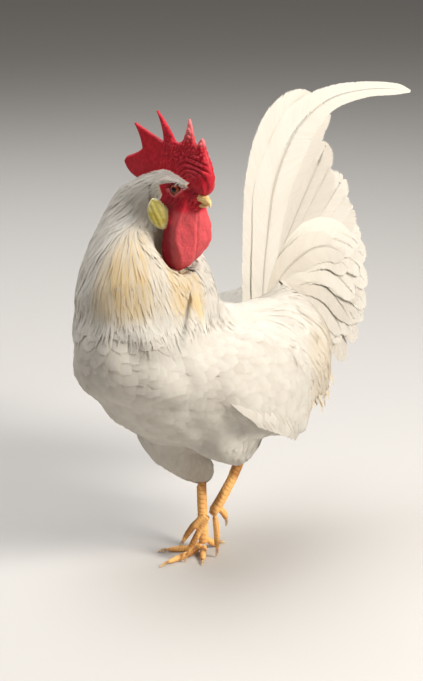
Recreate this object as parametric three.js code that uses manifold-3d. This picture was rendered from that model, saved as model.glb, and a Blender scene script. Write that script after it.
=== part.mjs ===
// A rooster of a light, white-feathered breed, standing on its right foot with the left one in mid-step.
// Millimetres, +Z up. The bird's body faces -Y and its left side is +X; its head is turned to its left.
// Every part is one closed solid of the living bird's outer shape, out to the tips of its feathers.
import * as THREE from "three";
import { mergeVertices } from "three/addons/utils/BufferGeometryUtils.js";
import Module from "manifold-3d";

const wasm = await Module();
wasm.setup();

// ---------------------------------------------------------------- driving dimensions
const GAP = 0.35; // clearance left between two parts that touch
const HEAD_YAW = 86; // degrees that the head is turned to the bird's left
const HEAD_AT = [21, -78, 444]; // middle of the skull, from the middle of the body at the floor
const EYE_RADIUS = 7.5;
const EYE_AT = [11, -21.5, 5.5]; // side, forward (-Y) and up, from the middle of the skull
const COMB_THICK = 8;
const TOE_RADIUS = 4.7;
const SHANK_RADIUS = 6.2;
const QUILL = 1.6; // half thickness of a large feather
const TUFT = 3; // half thickness of a lock of small feathers
const TAIL_ROOT = [0, 92, 296]; // where the quills of the tail meet

// ---------------------------------------------------------------- materials
const finish = (color, roughness) => new THREE.MeshStandardMaterial({ color, roughness, metalness: 0 });
const WHITE = finish(0xf1ece0, 0.85);
const CREAM = finish(0xe8dcbc, 0.8);
const RED = finish(0xb3141e, 0.5);
const LOBE = finish(0xd6c75c, 0.6);
const HORN = finish(0xdcae5e, 0.4);
const SCALE = finish(0xd7953c, 0.55);
const EYE = finish(0x5a2410, 0.12);

// ---------------------------------------------------------------- shaping
function positionsOnly(geometry) {
  geometry.deleteAttribute("normal");
  geometry.deleteAttribute("uv");
  return mergeVertices(geometry, 1e-3);
}

// Smooth value through evenly spaced ones, at t from 0 to 1.
function through(values, t) {
  const curve = new THREE.CatmullRomCurve3(values.map((v, i) => new THREE.Vector3(i, v, 0)));
  return curve.getPoint(t).y;
}

// A closed body on a curved spine. A station is [x, y, z, half width, half depth], and `deep` is the way that
// the depth runs (a function of t where it turns). `round` is 0.5 for an ellipsoid's ends, less for blunt ones,
// and `bow` bends the section, its two edges going against `deep`.
function limb(stations, { deep = [0, 0, 1], round = 0.35, around = 12, along = 10, bow = 0 } = {}) {
  const spine = new THREE.CatmullRomCurve3(stations.map(([x, y, z]) => new THREE.Vector3(x, y, z)));
  const widths = stations.map((s) => s[3]);
  const depths = stations.map((s) => s[4]);
  const shape = new THREE.SphereGeometry(1, around, along);
  const point = shape.getAttribute("position");
  for (let i = 0; i < point.count; i++) {
    const t = THREE.MathUtils.clamp((1 - point.getY(i)) / 2, 0, 1);
    const ring = Math.sqrt(4 * t * (1 - t));
    const end = ring > 1e-6 ? ring ** (2 * round) / ring : 0;
    const hint = new THREE.Vector3(...(typeof deep === "function" ? deep(t) : deep));
    const tangent = spine.getTangent(t);
    const across = hint.cross(tangent).normalize();
    const over = tangent.clone().cross(across);
    const x = point.getX(i) * end;
    const z = point.getZ(i) * end;
    const width = through(widths, t);
    const p = spine.getPoint(t);
    p.addScaledVector(across, x * width);
    p.addScaledVector(over, z * through(depths, t) - bow * x * x * width);
    point.setXYZ(i, p.x, p.y, p.z);
  }
  return positionsOnly(shape);
}

const placed = (geometry, matrix) => geometry.clone().applyMatrix4(matrix);

// ---------------------------------------------------------------- solids
function solid(geometry) {
  const build = (triVerts) =>
    new wasm.Manifold(
      new wasm.Mesh({ numProp: 3, vertProperties: geometry.getAttribute("position").array, triVerts })
    );
  const faces = new Uint32Array(geometry.index.array);
  const body = build(faces);
  return body.volume() > 0 ? body : build(faces.reverse());
}

function geometryOf(manifold) {
  const mesh = manifold.getMesh();
  const stride = mesh.numProp;
  const xyz = new Float32Array(mesh.numVert * 3);
  for (let i = 0; i < mesh.numVert; i++) {
    xyz.set(mesh.vertProperties.subarray(i * stride, i * stride + 3), i * 3);
  }
  const geometry = new THREE.BufferGeometry();
  geometry.setAttribute("position", new THREE.BufferAttribute(xyz, 3));
  geometry.setIndex(new THREE.BufferAttribute(mesh.triVerts, 1));
  return geometry;
}

// The same body with its surface moved out by `by`.
function grown(manifold, by) {
  const geometry = geometryOf(manifold);
  geometry.computeVertexNormals();
  const p = geometry.getAttribute("position");
  const n = geometry.getAttribute("normal");
  for (let i = 0; i < p.count; i++) {
    p.setXYZ(i, p.getX(i) + n.getX(i) * by, p.getY(i) + n.getY(i) * by, p.getZ(i) + n.getZ(i) * by);
  }
  return solid(geometry);
}

const joined = (geometries) => geometries.map(solid).reduce((a, b) => a.add(b));
const largest = (manifold) => manifold.decompose().reduce((a, b) => (b.volume() > a.volume() ? b : a));

function near(a, b) {
  const [one, two] = [a.boundingBox(), b.boundingBox()];
  return [0, 1, 2].every((k) => one.min[k] < two.max[k] && two.min[k] < one.max[k]);
}

// ---------------------------------------------------------------- the bird
const bird = new THREE.Group();
const clearances = [];

// Adds a part, cut clear of all those added before it.
function add(name, material, shape) {
  let body = Array.isArray(shape) ? joined(shape) : solid(shape);
  for (const earlier of clearances) {
    if (near(body, earlier)) body = body.subtract(earlier);
  }
  body = largest(body);
  clearances.push(grown(body, GAP).add(body));
  const mesh = new THREE.Mesh(geometryOf(body), material);
  mesh.name = name;
  bird.add(mesh);
}

// ---------------------------------------------------------------- head, forward along -Y in its own frame
const headMatrix = new THREE.Matrix4()
  .makeTranslation(...HEAD_AT)
  .multiply(new THREE.Matrix4().makeRotationZ(THREE.MathUtils.degToRad(HEAD_YAW)));
const onHead = (geometry) => placed(geometry, headMatrix);

function eye(side) {
  const [x, y, z] = EYE_AT;
  const ball = positionsOnly(new THREE.SphereGeometry(EYE_RADIUS, 10, 7));
  return onHead(placed(ball, new THREE.Matrix4().makeTranslation(side * x, y, z)));
}

const upperBeak = () =>
  onHead(
    limb(
      [
        [0, -33, 1, 8, 6.4],
        [0, -44, 0.5, 7.4, 6.4],
        [0, -54, -2, 5, 5],
        [0, -61, -7.5, 1.5, 2.3],
      ],
      { around: 9, along: 7, round: 0.25 }
    )
  );

const lowerBeak = () =>
  onHead(
    limb(
      [
        [0, -31, -10.5, 6.5, 3],
        [0, -43, -10.5, 5.6, 2.8],
        [0, -53, -10.5, 3.2, 2],
        [0, -57.5, -10, 1.2, 1],
      ],
      { around: 8, along: 6, round: 0.3 }
    )
  );

// The single comb: an upright plate with four points in front of a rounded blade, thick over the beak.
function comb() {
  const outline = new THREE.Shape();
  outline.moveTo(56, 1);
  outline.quadraticCurveTo(24, 8, 2, 16);
  outline.lineTo(-16, 20);
  outline.quadraticCurveTo(-26, 7, -42, 4);
  outline.quadraticCurveTo(-62, 6, -72, 21);
  outline.lineTo(-64, 29);
  outline.lineTo(-43, 39);
  outline.quadraticCurveTo(-48, 52, -58, 66);
  outline.quadraticCurveTo(-36, 58, -12, 51);
  outline.quadraticCurveTo(-11, 66, -21, 85);
  outline.quadraticCurveTo(-2, 72, 9, 53);
  outline.lineTo(21, 57);
  outline.quadraticCurveTo(27, 68, 30, 84);
  outline.quadraticCurveTo(38, 72, 39, 57);
  outline.lineTo(45, 55);
  outline.lineTo(52, 64);
  outline.lineTo(58, 52);
  outline.quadraticCurveTo(70, 34, 69, 18);
  outline.quadraticCurveTo(66, 4, 56, 1);
  const plate = new THREE.ExtrudeGeometry(outline, {
    depth: COMB_THICK - 4,
    bevelThickness: 2,
    bevelSize: 2,
    bevelOffset: -2,
    bevelSegments: 1,
    curveSegments: 3,
  });
  plate.translate(0, 0, 2 - COMB_THICK / 2);
  const upright = new THREE.Matrix4().set(0, 0, 1, 0, -1, 0, 0, 0, 0, 1, 0, 0, 0, 0, 0, 1);
  const front = limb(
    [
      [0, -30, 44, 6, 9],
      [0, -48, 36, 10, 13],
      [0, -58, 20, 10, 11],
      [0, -54, 8, 7, 6],
    ],
    { deep: [0, -1, 0.6], around: 8, along: 6, round: 0.4 }
  );
  return [placed(positionsOnly(plate), upright), front].map(onHead);
}

// A wattle hangs from the jaw. It is folded lengthwise, its front edge turned in to its fellow, and the left
// one has swung forward and out.
const WATTLES = {
  right: {
    bow: 0.5,
    deep: [-0.86, -0.5, 0],
    stations: [
      [-9, -24, -6, 12, 3],
      [-13.5, -27, -20, 12.5, 3.2],
      [-14, -25, -40, 14.5, 3.4],
      [-15.5, -23.5, -57, 14.5, 3.4],
      [-13, -20, -71, 12.5, 3.2],
      [-10, -16.5, -82, 8, 2.5],
    ],
  },
  left: {
    bow: 0.9,
    deep: [0.68, -0.74, 0],
    stations: [
      [9, -25, -6, 12, 3],
      [15.5, -28, -20, 12.5, 3.2],
      [19.5, -34, -36, 13, 3.4],
      [20, -34.5, -51, 12.5, 3.4],
      [15, -26, -66, 11, 3.2],
      [10, -20, -78, 7, 2.5],
    ],
  },
};
const wattle = ({ stations, deep, bow }) =>
  onHead(limb(stations, { deep, bow, around: 10, along: 8, round: 0.25 }));

const earlobe = (side) =>
  onHead(
    limb(
      [
        [side * 18, 1, -4, 6, 2.5],
        [side * 22, -2, -13, 11.5, 3.5],
        [side * 23, -6, -24, 11, 3.5],
        [side * 21, -11, -35, 5.5, 2.6],
        [side * 20, -13, -40, 1.5, 1.5],
      ],
      { deep: [side, -0.7, 0], around: 8, along: 7, round: 0.35 }
    )
  );

const head = () =>
  onHead(
    limb(
      [
        [0, 30, -8, 20, 18],
        [0, 8, 2, 22, 24],
        [0, -12, 4, 19.5, 22],
        [0, -28, 0, 14.5, 16],
        [0, -42, -4, 8, 9],
      ],
      { around: 14, along: 9, round: 0.4 }
    )
  );

// ---------------------------------------------------------------- neck, trunk, wings and thighs
// The neck's section turns with the head, from crosswise at the body to lengthwise at the skull.
const neck = () =>
  limb(
    [
      [-10, -72, 445, 18, 22],
      [-34, -57, 420, 42, 46],
      [-33, -63, 380, 59, 66],
      [-16, -80, 340, 72, 80],
      [0, -92, 300, 81, 91],
      [0, -90, 262, 81, 90],
    ],
    {
      deep: (t) => {
        const turn = THREE.MathUtils.degToRad(HEAD_YAW * (1 - THREE.MathUtils.smoothstep(t, 0, 0.75)));
        return [Math.sin(turn), -Math.cos(turn), 0];
      },
      around: 18,
      along: 11,
      round: 0.25,
    }
  );

const trunk = () =>
  limb(
    [
      [0, 150, 238, 34, 40],
      [0, 104, 238, 64, 64],
      [0, 50, 230, 81, 77],
      [0, -10, 220, 88, 86],
      [0, -76, 240, 86, 80],
      [0, -134, 268, 70, 67],
      [0, -172, 282, 42, 46],
    ],
    { around: 20, along: 14, round: 0.36 }
  );

const wing = (side) =>
  limb(
    [
      [side * 60, -116, 262, 24, 10],
      [side * 78, -72, 252, 42, 14],
      [side * 87, -20, 234, 52, 14],
      [side * 85, 30, 208, 52, 12],
      [side * 78, 70, 174, 36, 8],
      [side * 72, 90, 142, 12, 4],
    ],
    { deep: [side, 0, 0.1], around: 12, along: 9, round: 0.3 }
  );

// The long feathers of the saddle hang over the root of the wing and the flank.
const saddle = (side) =>
  limb(
    [
      [side * 20, 82, 298, 34, 10],
      [side * 50, 98, 280, 44, 12],
      [side * 66, 116, 242, 46, 11],
      [side * 66, 130, 206, 38, 8],
      [side * 60, 138, 174, 16, 4],
    ],
    { deep: [side * 0.9, 0.35, 0.4], around: 12, along: 7, round: 0.3 }
  );

const thigh = (stations) => limb(stations, { deep: [0, -1, 0], around: 12, along: 9, round: 0.34 });

const RIGHT_THIGH = [
  [-40, -26, 200, 38, 46],
  [-42, -22, 164, 37, 47],
  [-41, -9, 130, 31, 36],
  [-39, 5, 106, 22, 26],
  [-36, 17, 86, 13, 16],
  [-32, 23, 70, 8, 9],
];
const LEFT_THIGH = [
  [42, -22, 208, 40, 48],
  [44, -14, 176, 40, 53],
  [44, 1, 146, 31, 38],
  [42, 10, 121, 16, 18],
];

// ---------------------------------------------------------------- feet
const RIGHT_SHANK = [
  [-36, 31, 100, 8, 8.5],
  [-31, 26, 84, 6.4, 7],
  [-20, 16, 46, 5.6, SHANK_RADIUS],
  [-10, 7, 16, 7, 7.4],
  [-8, 4, 9, 6, 6],
];
const LEFT_SHANK = [
  [42, 14, 130, 8, 8.5],
  [39, 10, 114, 6.4, 7],
  [32, -1, 86, 5.6, SHANK_RADIUS],
  [24, -10, 66, 7, 7.4],
  [21, -14, 57, 6, 6],
];

// A toe is given from its root to its claw; the claw goes on to the tip.
const TOES = {
  right: {
    1: [[-9, 10, 14], [-8, 22, 5], [-8, 31, 3]],
    2: [[-5, 3, 9], [2, -7, 4.2], [8, -14, 3.5], [13, -20, 3]],
    3: [[-8, 2, 9], [-9, -16, 4.2], [-10, -36, 3.4], [-11, -54, 3]],
    4: [[-11, 3, 9], [-20, -7, 4.2], [-30, -17, 3.5], [-38, -26, 3]],
  },
  left: {
    1: [[24, -6, 66], [25, 3, 56], [24, 8, 47]],
    2: [[17, -18, 59], [6, -25, 46], [-2, -29, 33], [-7, -32, 23]],
    3: [[19, -16, 57], [9, -20, 38], [4, -28, 21], [1, -33, 11]],
    4: [[24, -12, 58], [22, -6, 38], [19, -2, 22], [17, 0, 11]],
  },
};
const CLAWS = {
  right: {
    1: [[-8, 30, 3.2], [-8, 37, 2.6], [-8, 43, 0]],
    2: [[12, -19, 3], [17, -25, 2.8], [20, -30, 0]],
    3: [[-11, -52, 3], [-11, -60, 2.8], [-11, -67, 0]],
    4: [[-37, -25, 3], [-42, -30, 2.6], [-46, -34, 0]],
  },
  left: {
    1: [[24, 7, 49], [23, 10, 42], [20, 11, 36]],
    2: [[-6, -31, 25], [-9, -33, 18], [-9, -34, 12.5]],
    3: [[1.5, -32, 12.5], [0, -35, 6], [-1, -35, -0.4]],
    4: [[17.5, 0, 12.5], [16, 1, 6], [14, 1, -0.4]],
  },
};

// The planted foot's toes lie flat and the lifted one's hang, so their sections are set up by different axes.
const TOE_DEEP = { right: [0.1, 0.2, 1], left: [1, 0, 0] };
const TOE_TAPER = 0.09; // how much thinner a toe is at each station than at the one before

const FLOOR = positionsOnly(new THREE.BoxGeometry(400, 400, 40).translate(0, 0, -20));

function toe(points, deep) {
  const radius = (i) => TOE_RADIUS * (1 - TOE_TAPER * i);
  const stations = points.map((p, i) => [...p, radius(i), radius(i)]);
  return limb(stations, { deep, around: 7, along: 7, round: 0.22 });
}

function claw(points, deep) {
  const stations = points.map((p, i) => [...p, 2.7 - 0.9 * i, 3 - i]);
  return limb(stations, { deep, around: 6, along: 5, round: 0.3 });
}

// ---------------------------------------------------------------- tail
// A broad feather lies in an upright plane, its flat side to the bird's flank.
const feather = (stations, along = 14) => limb(stations, { deep: [1, 0, 0], around: 6, along, round: 0.24 });

const SICKLE_RIGHT = [
  [-7, 92, 300, 12, QUILL],
  [-9, 97, 360, 19, QUILL],
  [-10, 102, 420, 23, QUILL],
  [-10, 116, 470, 23, QUILL],
  [-10, 141, 500, 19, QUILL],
  [-10, 172, 513, 12, QUILL],
  [-10, 200, 505, 4, QUILL],
];
const SICKLE_LEFT = [
  [7, 98, 300, 12, QUILL],
  [9, 103, 360, 20, QUILL],
  [10, 116, 420, 30, QUILL],
  [10, 149, 474, 32, QUILL],
  [10, 204, 504, 17, QUILL],
  [10, 270, 509, 10, QUILL],
  [10, 330, 503, 7, QUILL],
  [10, 360, 496, 3, QUILL],
];
const BETWEEN_SICKLES = [
  [0, 98, 300, 12, QUILL],
  [0, 103, 360, 18, QUILL],
  [0, 117, 420, 22, QUILL],
  [0, 156, 464, 24, QUILL],
  [0, 206, 485, 16, QUILL],
];

// One half of the fan of main feathers: [tip y, tip z, how far out the tip stands].
const MAIN_TIPS = [
  [194, 455, 14],
  [224, 411, 17],
  [242, 366, 20],
];
function mainFeathers(side) {
  const [, rootY, rootZ] = TAIL_ROOT;
  return MAIN_TIPS.map(([y, z, out], i) => {
    const at = (s, half) => [
      side * THREE.MathUtils.lerp(12, out, s),
      THREE.MathUtils.lerp(rootY + 6 * i, y, s),
      THREE.MathUtils.lerp(rootZ, z, s) + 14 * s * (1 - s),
      half,
      QUILL,
    ];
    return feather([at(0, 9), at(0.35, 16), at(0.7, 21), at(1, 21)], 8);
  });
}

// The lesser sickles and coverts arch out of the tail's root and hang: [tip y, tip z, height of the arch].
const LESSER_TIPS = [
  [250, 336, 60],
  [266, 292, 70],
  [258, 246, 70],
  [232, 206, 62],
];
function lesserSickles(side) {
  const [, rootY, rootZ] = TAIL_ROOT;
  return LESSER_TIPS.map(([y, z, arch], i) => {
    const at = (s, out, half) => [
      side * out,
      THREE.MathUtils.lerp(rootY + 6, y, s),
      THREE.MathUtils.lerp(rootZ - 6, z, s) + arch * 4 * s * (1 - s) * (1 - 0.3 * s),
      half,
      TUFT,
    ];
    const spread = 30 + 4 * i;
    return feather([at(0, 22, 14), at(0.3, spread, 26), at(0.65, spread + 8, 28), at(1, spread + 4, 14)], 8);
  });
}

const tailRoot = () =>
  limb(
    [
      [0, 60, 276, 34, 26],
      [0, 88, 298, 30, 28],
      [0, 106, 330, 22, 24],
      [0, 114, 356, 15, 18],
    ],
    { deep: [0, -0.6, 0.8], around: 11, along: 7, round: 0.4 }
  );

// ---------------------------------------------------------------- assembly, each part cut by those before it
const SIDES = { left: 1, right: -1 };

for (const [name, side] of Object.entries(SIDES)) add(`eye_${name}`, EYE, eye(side));
add("beak_upper", HORN, upperBeak());
add("beak_lower", HORN, lowerBeak());
add("head", RED, head());
add("comb", RED, comb());
for (const [name, shape] of Object.entries(WATTLES)) add(`wattle_${name}`, RED, wattle(shape));
for (const [name, side] of Object.entries(SIDES)) add(`earlobe_${name}`, LOBE, earlobe(side));
add("trunk", WHITE, trunk());
add("neck", CREAM, neck());
add("thigh_right", WHITE, thigh(RIGHT_THIGH));
add("thigh_left", WHITE, thigh(LEFT_THIGH));

clearances.push(solid(FLOOR));
for (const [name, stations] of [["right", RIGHT_SHANK], ["left", LEFT_SHANK]]) {
  add(`shank_${name}`, SCALE, limb(stations, { deep: [0, -1, 0.2], around: 9, along: 7, round: 0.22 }));
}
for (const [name, deep] of Object.entries(TOE_DEEP)) {
  for (const [number, points] of Object.entries(TOES[name])) {
    add(`toe_${number}_${name}`, SCALE, toe(points, deep));
  }
  for (const [number, points] of Object.entries(CLAWS[name])) {
    add(`claw_${number}_${name}`, HORN, claw(points, deep));
  }
}

for (const [name, side] of Object.entries(SIDES)) add(`wing_${name}`, WHITE, wing(side));
for (const [name, side] of Object.entries(SIDES)) add(`saddle_${name}`, WHITE, saddle(side));
add("tail_root", WHITE, tailRoot());
add("sickle_left", WHITE, feather(SICKLE_LEFT, 16));
add("sickle_right", WHITE, feather(SICKLE_RIGHT, 16));
add("tail_middle", WHITE, feather(BETWEEN_SICKLES, 10));
for (const [name, side] of Object.entries(SIDES)) add(`tail_feathers_${name}`, WHITE, mainFeathers(side));
for (const [name, side] of Object.entries(SIDES)) add(`tail_coverts_${name}`, WHITE, lesserSickles(side));

const extent = new THREE.Box3().setFromObject(bird);
const middle = extent.getCenter(new THREE.Vector3());
bird.position.set(-middle.x, -middle.y, -extent.min.z);

export default bird;
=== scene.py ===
"""A still, life-size white rooster in mid-step: one skin, plumage of solid vanes, beak, eyes and claws."""

import math

import bpy
import numpy as np
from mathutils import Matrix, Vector
from mathutils.bvhtree import BVHTree


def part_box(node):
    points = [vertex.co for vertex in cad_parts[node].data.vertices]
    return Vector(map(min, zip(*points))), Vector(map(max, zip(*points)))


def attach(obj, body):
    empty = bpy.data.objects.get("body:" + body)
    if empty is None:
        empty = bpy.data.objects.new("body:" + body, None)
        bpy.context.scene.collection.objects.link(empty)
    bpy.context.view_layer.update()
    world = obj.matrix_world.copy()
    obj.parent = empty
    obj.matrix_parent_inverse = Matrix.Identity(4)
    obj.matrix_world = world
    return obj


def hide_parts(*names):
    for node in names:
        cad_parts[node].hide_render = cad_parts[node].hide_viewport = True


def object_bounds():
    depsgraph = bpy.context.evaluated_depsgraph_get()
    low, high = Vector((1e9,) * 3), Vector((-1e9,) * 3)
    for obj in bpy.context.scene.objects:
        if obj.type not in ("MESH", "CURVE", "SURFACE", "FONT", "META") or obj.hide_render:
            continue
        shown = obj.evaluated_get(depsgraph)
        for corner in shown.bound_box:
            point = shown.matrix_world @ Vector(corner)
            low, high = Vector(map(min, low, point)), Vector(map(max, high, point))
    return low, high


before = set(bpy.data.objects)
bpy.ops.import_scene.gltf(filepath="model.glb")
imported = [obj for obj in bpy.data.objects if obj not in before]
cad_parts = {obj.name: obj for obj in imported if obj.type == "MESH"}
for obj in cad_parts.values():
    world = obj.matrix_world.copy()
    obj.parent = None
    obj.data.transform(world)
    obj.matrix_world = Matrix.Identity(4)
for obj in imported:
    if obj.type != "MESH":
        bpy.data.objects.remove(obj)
cad_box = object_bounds()

# ---------------------------------------------------------------- units and the bird's own frame
# Shapes are worked out in millimetres in the bird's frame: it faces -Y, its left is +X, the floor is Z = 0.
MM = 0.001
TRUNK_MIDDLE_Y = -11.0  # of the trunk's box, in the bird's frame
SIDES = {"left": 1.0, "right": -1.0}
TOES = (1, 2, 3, 4)


def paired(*parts):
    """The names of the nodes of both sides."""
    return [f"{part}_{side}" for part in parts for side in SIDES]


def middle(node):
    """The middle of a node's box, in metres."""
    low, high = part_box(node)
    return np.array((low + high) / 2)


SHIFT = np.array([0.0, middle("trunk")[1] - TRUNK_MIDDLE_Y * MM, 0.0])


def in_metres(points):
    return np.asarray(points) * MM + SHIFT


def in_millimetres(points):
    return (np.asarray(points) - SHIFT) / MM


# ---------------------------------------------------------------- small vector sums
def unit(v):
    return v / np.maximum(np.linalg.norm(v, axis=-1, keepdims=True), 1e-9)


def dots(a, b):
    """The dot product of each pair of rows, kept as a column."""
    return np.sum(a * b, axis=-1, keepdims=True)


def smoothstep(low, high, x):
    t = np.clip((x - low) / (high - low), 0, 1)
    return t * t * (3 - 2 * t)


def mix(a, b, t):
    return a + (b - a) * t


def curve(stations, count):
    """A smooth line through stations, with any number of columns, at count even steps."""
    stations = np.asarray(stations, float)
    before, after = 2 * stations[:1] - stations[1:2], 2 * stations[-1:] - stations[-2:-1]
    padded = np.concatenate([before, stations, after])
    at = np.linspace(0, len(stations) - 1, count)
    k = np.minimum(at.astype(int), len(stations) - 2)
    f = (at - k)[:, None]
    a, b, c, d = (padded[k + n] for n in range(4))
    return b + 0.5 * f * (c - a + f * (2 * a - 5 * b + 4 * c - d + f * (3 * (b - c) + d - a)))


# ---------------------------------------------------------------- meshes as arrays
def mesh_arrays(mesh):
    """The points and triangles of a Blender mesh."""
    mesh.calc_loop_triangles()
    points = np.empty(len(mesh.vertices) * 3, np.float32)
    mesh.vertices.foreach_get("co", points)
    triangles = np.empty(len(mesh.loop_triangles) * 3, np.int32)
    mesh.loop_triangles.foreach_get("vertices", triangles)
    return points.reshape(-1, 3).astype(float), triangles.reshape(-1, 3)


def mesh_of(name, points, faces):
    """A Blender mesh of faces that all have the same number of corners."""
    mesh = bpy.data.meshes.new(name)
    corners = faces.shape[1]
    mesh.vertices.add(len(points))
    mesh.vertices.foreach_set("co", np.asarray(points, np.float32).ravel())
    mesh.loops.add(faces.size)
    mesh.loops.foreach_set("vertex_index", faces.astype(np.int32).ravel())
    mesh.polygons.add(len(faces))
    mesh.polygons.foreach_set("loop_start", np.arange(0, faces.size, corners, dtype=np.int32))
    mesh.update(calc_edges=True)
    mesh.polygons.foreach_set("use_smooth", np.ones(len(faces), bool))
    return mesh


def node_arrays(name):
    """A CAD node's points, in the bird's frame, and its triangles."""
    points, triangles = mesh_arrays(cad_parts[name].data)
    return in_millimetres(points), triangles


ROOT_SHARE = 0.3  # how much of the height of the CAD's tail root is flesh


def body_node(name):
    """A node of the feathered body; the tail's root is as low as its flesh, without the quills in it."""
    points, triangles = node_arrays(name)
    if name == "tail_root":
        low = points[:, 2].min()
        points[:, 2] = low + (points[:, 2] - low) * ROOT_SHARE
    return points, triangles


def joined_arrays(parts):
    """Several (points, faces) pairs as one."""
    starts = np.cumsum([0] + [len(points) for points, _ in parts[:-1]])
    points = np.concatenate([points for points, _ in parts])
    faces = np.concatenate([faces + start for (_, faces), start in zip(parts, starts)])
    return points, faces


def linked(name, data):
    """A new object of the scene."""
    ob = bpy.data.objects.new(name, data)
    bpy.context.scene.collection.objects.link(ob)
    return ob


def evaluated(points, triangles, *modifiers, group=None):
    """The arrays after Blender's modifiers, each as (kind, settings); a group of points is named "group"."""
    ob = linked("work", mesh_of("work", points, triangles))
    if group is not None:
        ob.vertex_groups.new(name="group").add(np.nonzero(group)[0].tolist(), 1.0, "REPLACE")
    for kind, settings in modifiers:
        modifier = ob.modifiers.new(kind, kind)
        for key, value in settings.items():
            setattr(modifier, key, value)
    graph = bpy.context.evaluated_depsgraph_get()
    result = bpy.data.meshes.new_from_object(ob.evaluated_get(graph))
    arrays = mesh_arrays(result)
    mesh = ob.data
    bpy.data.objects.remove(ob)
    bpy.data.meshes.remove(mesh)
    bpy.data.meshes.remove(result)
    return arrays


def vertex_normals(points, triangles):
    """The mean of the faces' normals about each point, by the faces' areas."""
    a, b, c = (points[triangles[:, k]] for k in range(3))
    flat = np.cross(b - a, c - a)
    normals = np.zeros_like(points)
    for k in range(3):
        for axis in range(3):
            normals[:, axis] += np.bincount(triangles[:, k], flat[:, axis], len(points))
    return unit(normals)


class Surface:
    """A closed mesh in the bird's frame that points can be laid on."""

    def __init__(self, points, triangles):
        self.points = points
        self.triangles = triangles
        self.normals = vertex_normals(points, triangles)
        self.tree = BVHTree.FromPolygons(points.tolist(), triangles.tolist())

    def nearest(self, points):
        """The nearest point of the surface to each point, and its smooth normal there."""
        flat = np.asarray(points).reshape(-1, 3)
        found = [self.tree.find_nearest(p) for p in flat.tolist()]
        at = np.array([f[0][:] for f in found])
        corners = self.triangles[np.array([f[2] for f in found])]
        a, b, c = (self.points[corners[:, k]] for k in range(3))
        whole = np.cross(b - a, c - a)
        area = np.maximum(dots(whole, whole), 1e-12)
        u = dots(np.cross(c - b, at - b), whole) / area
        v = dots(np.cross(a - c, at - c), whole) / area
        na, nb, nc = (self.normals[corners[:, k]] for k in range(3))
        normal = unit(na * u + nb * v + nc * (1 - u - v))
        shape = np.shape(points)
        return at.reshape(shape), normal.reshape(shape)


# ---------------------------------------------------------------- seeds: even random points of a surface
def scattered(surface, keep, gap, seed):
    """Random points on the triangles kept, with their normals, no two nearer than gap(points)."""
    rng = np.random.default_rng(seed)
    a, b, c = (surface.points[surface.triangles[keep, k]] for k in range(3))
    na, nb, nc = (surface.normals[surface.triangles[keep, k]] for k in range(3))
    area = np.linalg.norm(np.cross(b - a, c - a), axis=1) / 2
    gaps = gap((a + b + c) / 3)
    share = area / gaps**2
    count = int(share.sum() * 5)
    pick = rng.choice(len(area), count, p=share / share.sum())
    u, v = rng.random((2, count, 1))
    fold = u + v > 1
    u, v = np.where(fold, 1 - u, u), np.where(fold, 1 - v, v)
    points = a[pick] * (1 - u - v) + b[pick] * u + c[pick] * v
    normals = unit(na[pick] * (1 - u - v) + nb[pick] * u + nc[pick] * v)
    kept = spaced(points, gap(points))
    return points[kept], normals[kept]


def spaced(points, gaps):
    """Indices of points that stand at least their gap from all kept before them."""
    cell = float(gaps.max())
    cells = {}
    kept = []
    keys = np.floor(points / cell).astype(int).tolist()
    around = [(i, j, k) for i in (-1, 0, 1) for j in (-1, 0, 1) for k in (-1, 0, 1)]
    for index, ((x, y, z), gap, (i, j, k)) in enumerate(zip(points.tolist(), gaps.tolist(), keys)):
        limit = gap * gap
        clear = True
        for di, dj, dk in around:
            for px, py, pz in cells.get((i + di, j + dj, k + dk), ()):
                if (px - x) ** 2 + (py - y) ** 2 + (pz - z) ** 2 < limit:
                    clear = False
                    break
            if not clear:
                break
        if clear:
            cells.setdefault((i, j, k), []).append((x, y, z))
            kept.append(index)
    return np.array(kept, int)


# ---------------------------------------------------------------- small feathers, many at once
FLAT_TURN = 0.55  # cosine: a path that would turn over an edge sharper than this leaves the surface instead
FALL = (0, 0, -0.8)  # how a free end hangs down, beside how far it goes on


def paths_on(surface, roots, normals, flow, lengths, stations, sway):
    """Lines laid along a surface from roots, following flow(points, normals): their points and normals."""
    step = (lengths / (stations - 1))[:, None]
    points, ups = [roots], [normals]
    at, up = roots, normals
    for k in range(stations - 1):
        way = flow(at, up)
        way = unit(way - up * dots(way, up))
        way = unit(way + np.cross(up, way) * (sway * (0.4 + k / stations))[:, None])
        ahead = at + way * step
        laid, laid_up = surface.nearest(ahead)
        free = dots(laid_up, up) < FLAT_TURN
        fallen = at + unit(way + FALL) * step
        at = np.where(free, fallen, laid)
        up = np.where(free, up, laid_up)
        points.append(at)
        ups.append(up)
    return np.stack(points, 1), np.stack(ups, 1)


# How a vane's upper side is divided across, from its left edge to its right one. Its lower side has a keel.
SECTIONS = {"narrow": (-1, 0, 1), "broad": (-1, -0.55, 0, 0.55, 1)}
KEEL = (1, 0, -1)
CAMBER = 0.12  # how far a vane's edges drop below its middle, over its half width
RAGGED = 0.1  # how uneven a vane's edge is at its tip
EDGE_DIP = 0.25  # mm that a fitted vane's edges lie below its middle
MAX_FIT = 7.0  # mm that a vane may stand off and still be bent to the surface
FREE_FROM = 1.0  # mm off the surface at which a vane's path counts as free


def strip_faces(rows, columns, start):
    """Triangles of a strip: its root point, rows of points across it, then its tip point."""
    faces = []
    tip = start + 1 + rows * columns
    for k in range(columns - 1):
        low = start + 1 + k
        high = low + (rows - 1) * columns
        faces += [(start, low + 1, low), (tip, high, high + 1)]
        for at in range(low, high, columns):
            faces += [(at, at + 1, at + columns + 1), (at, at + columns + 1, at + columns)]
    return faces


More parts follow.
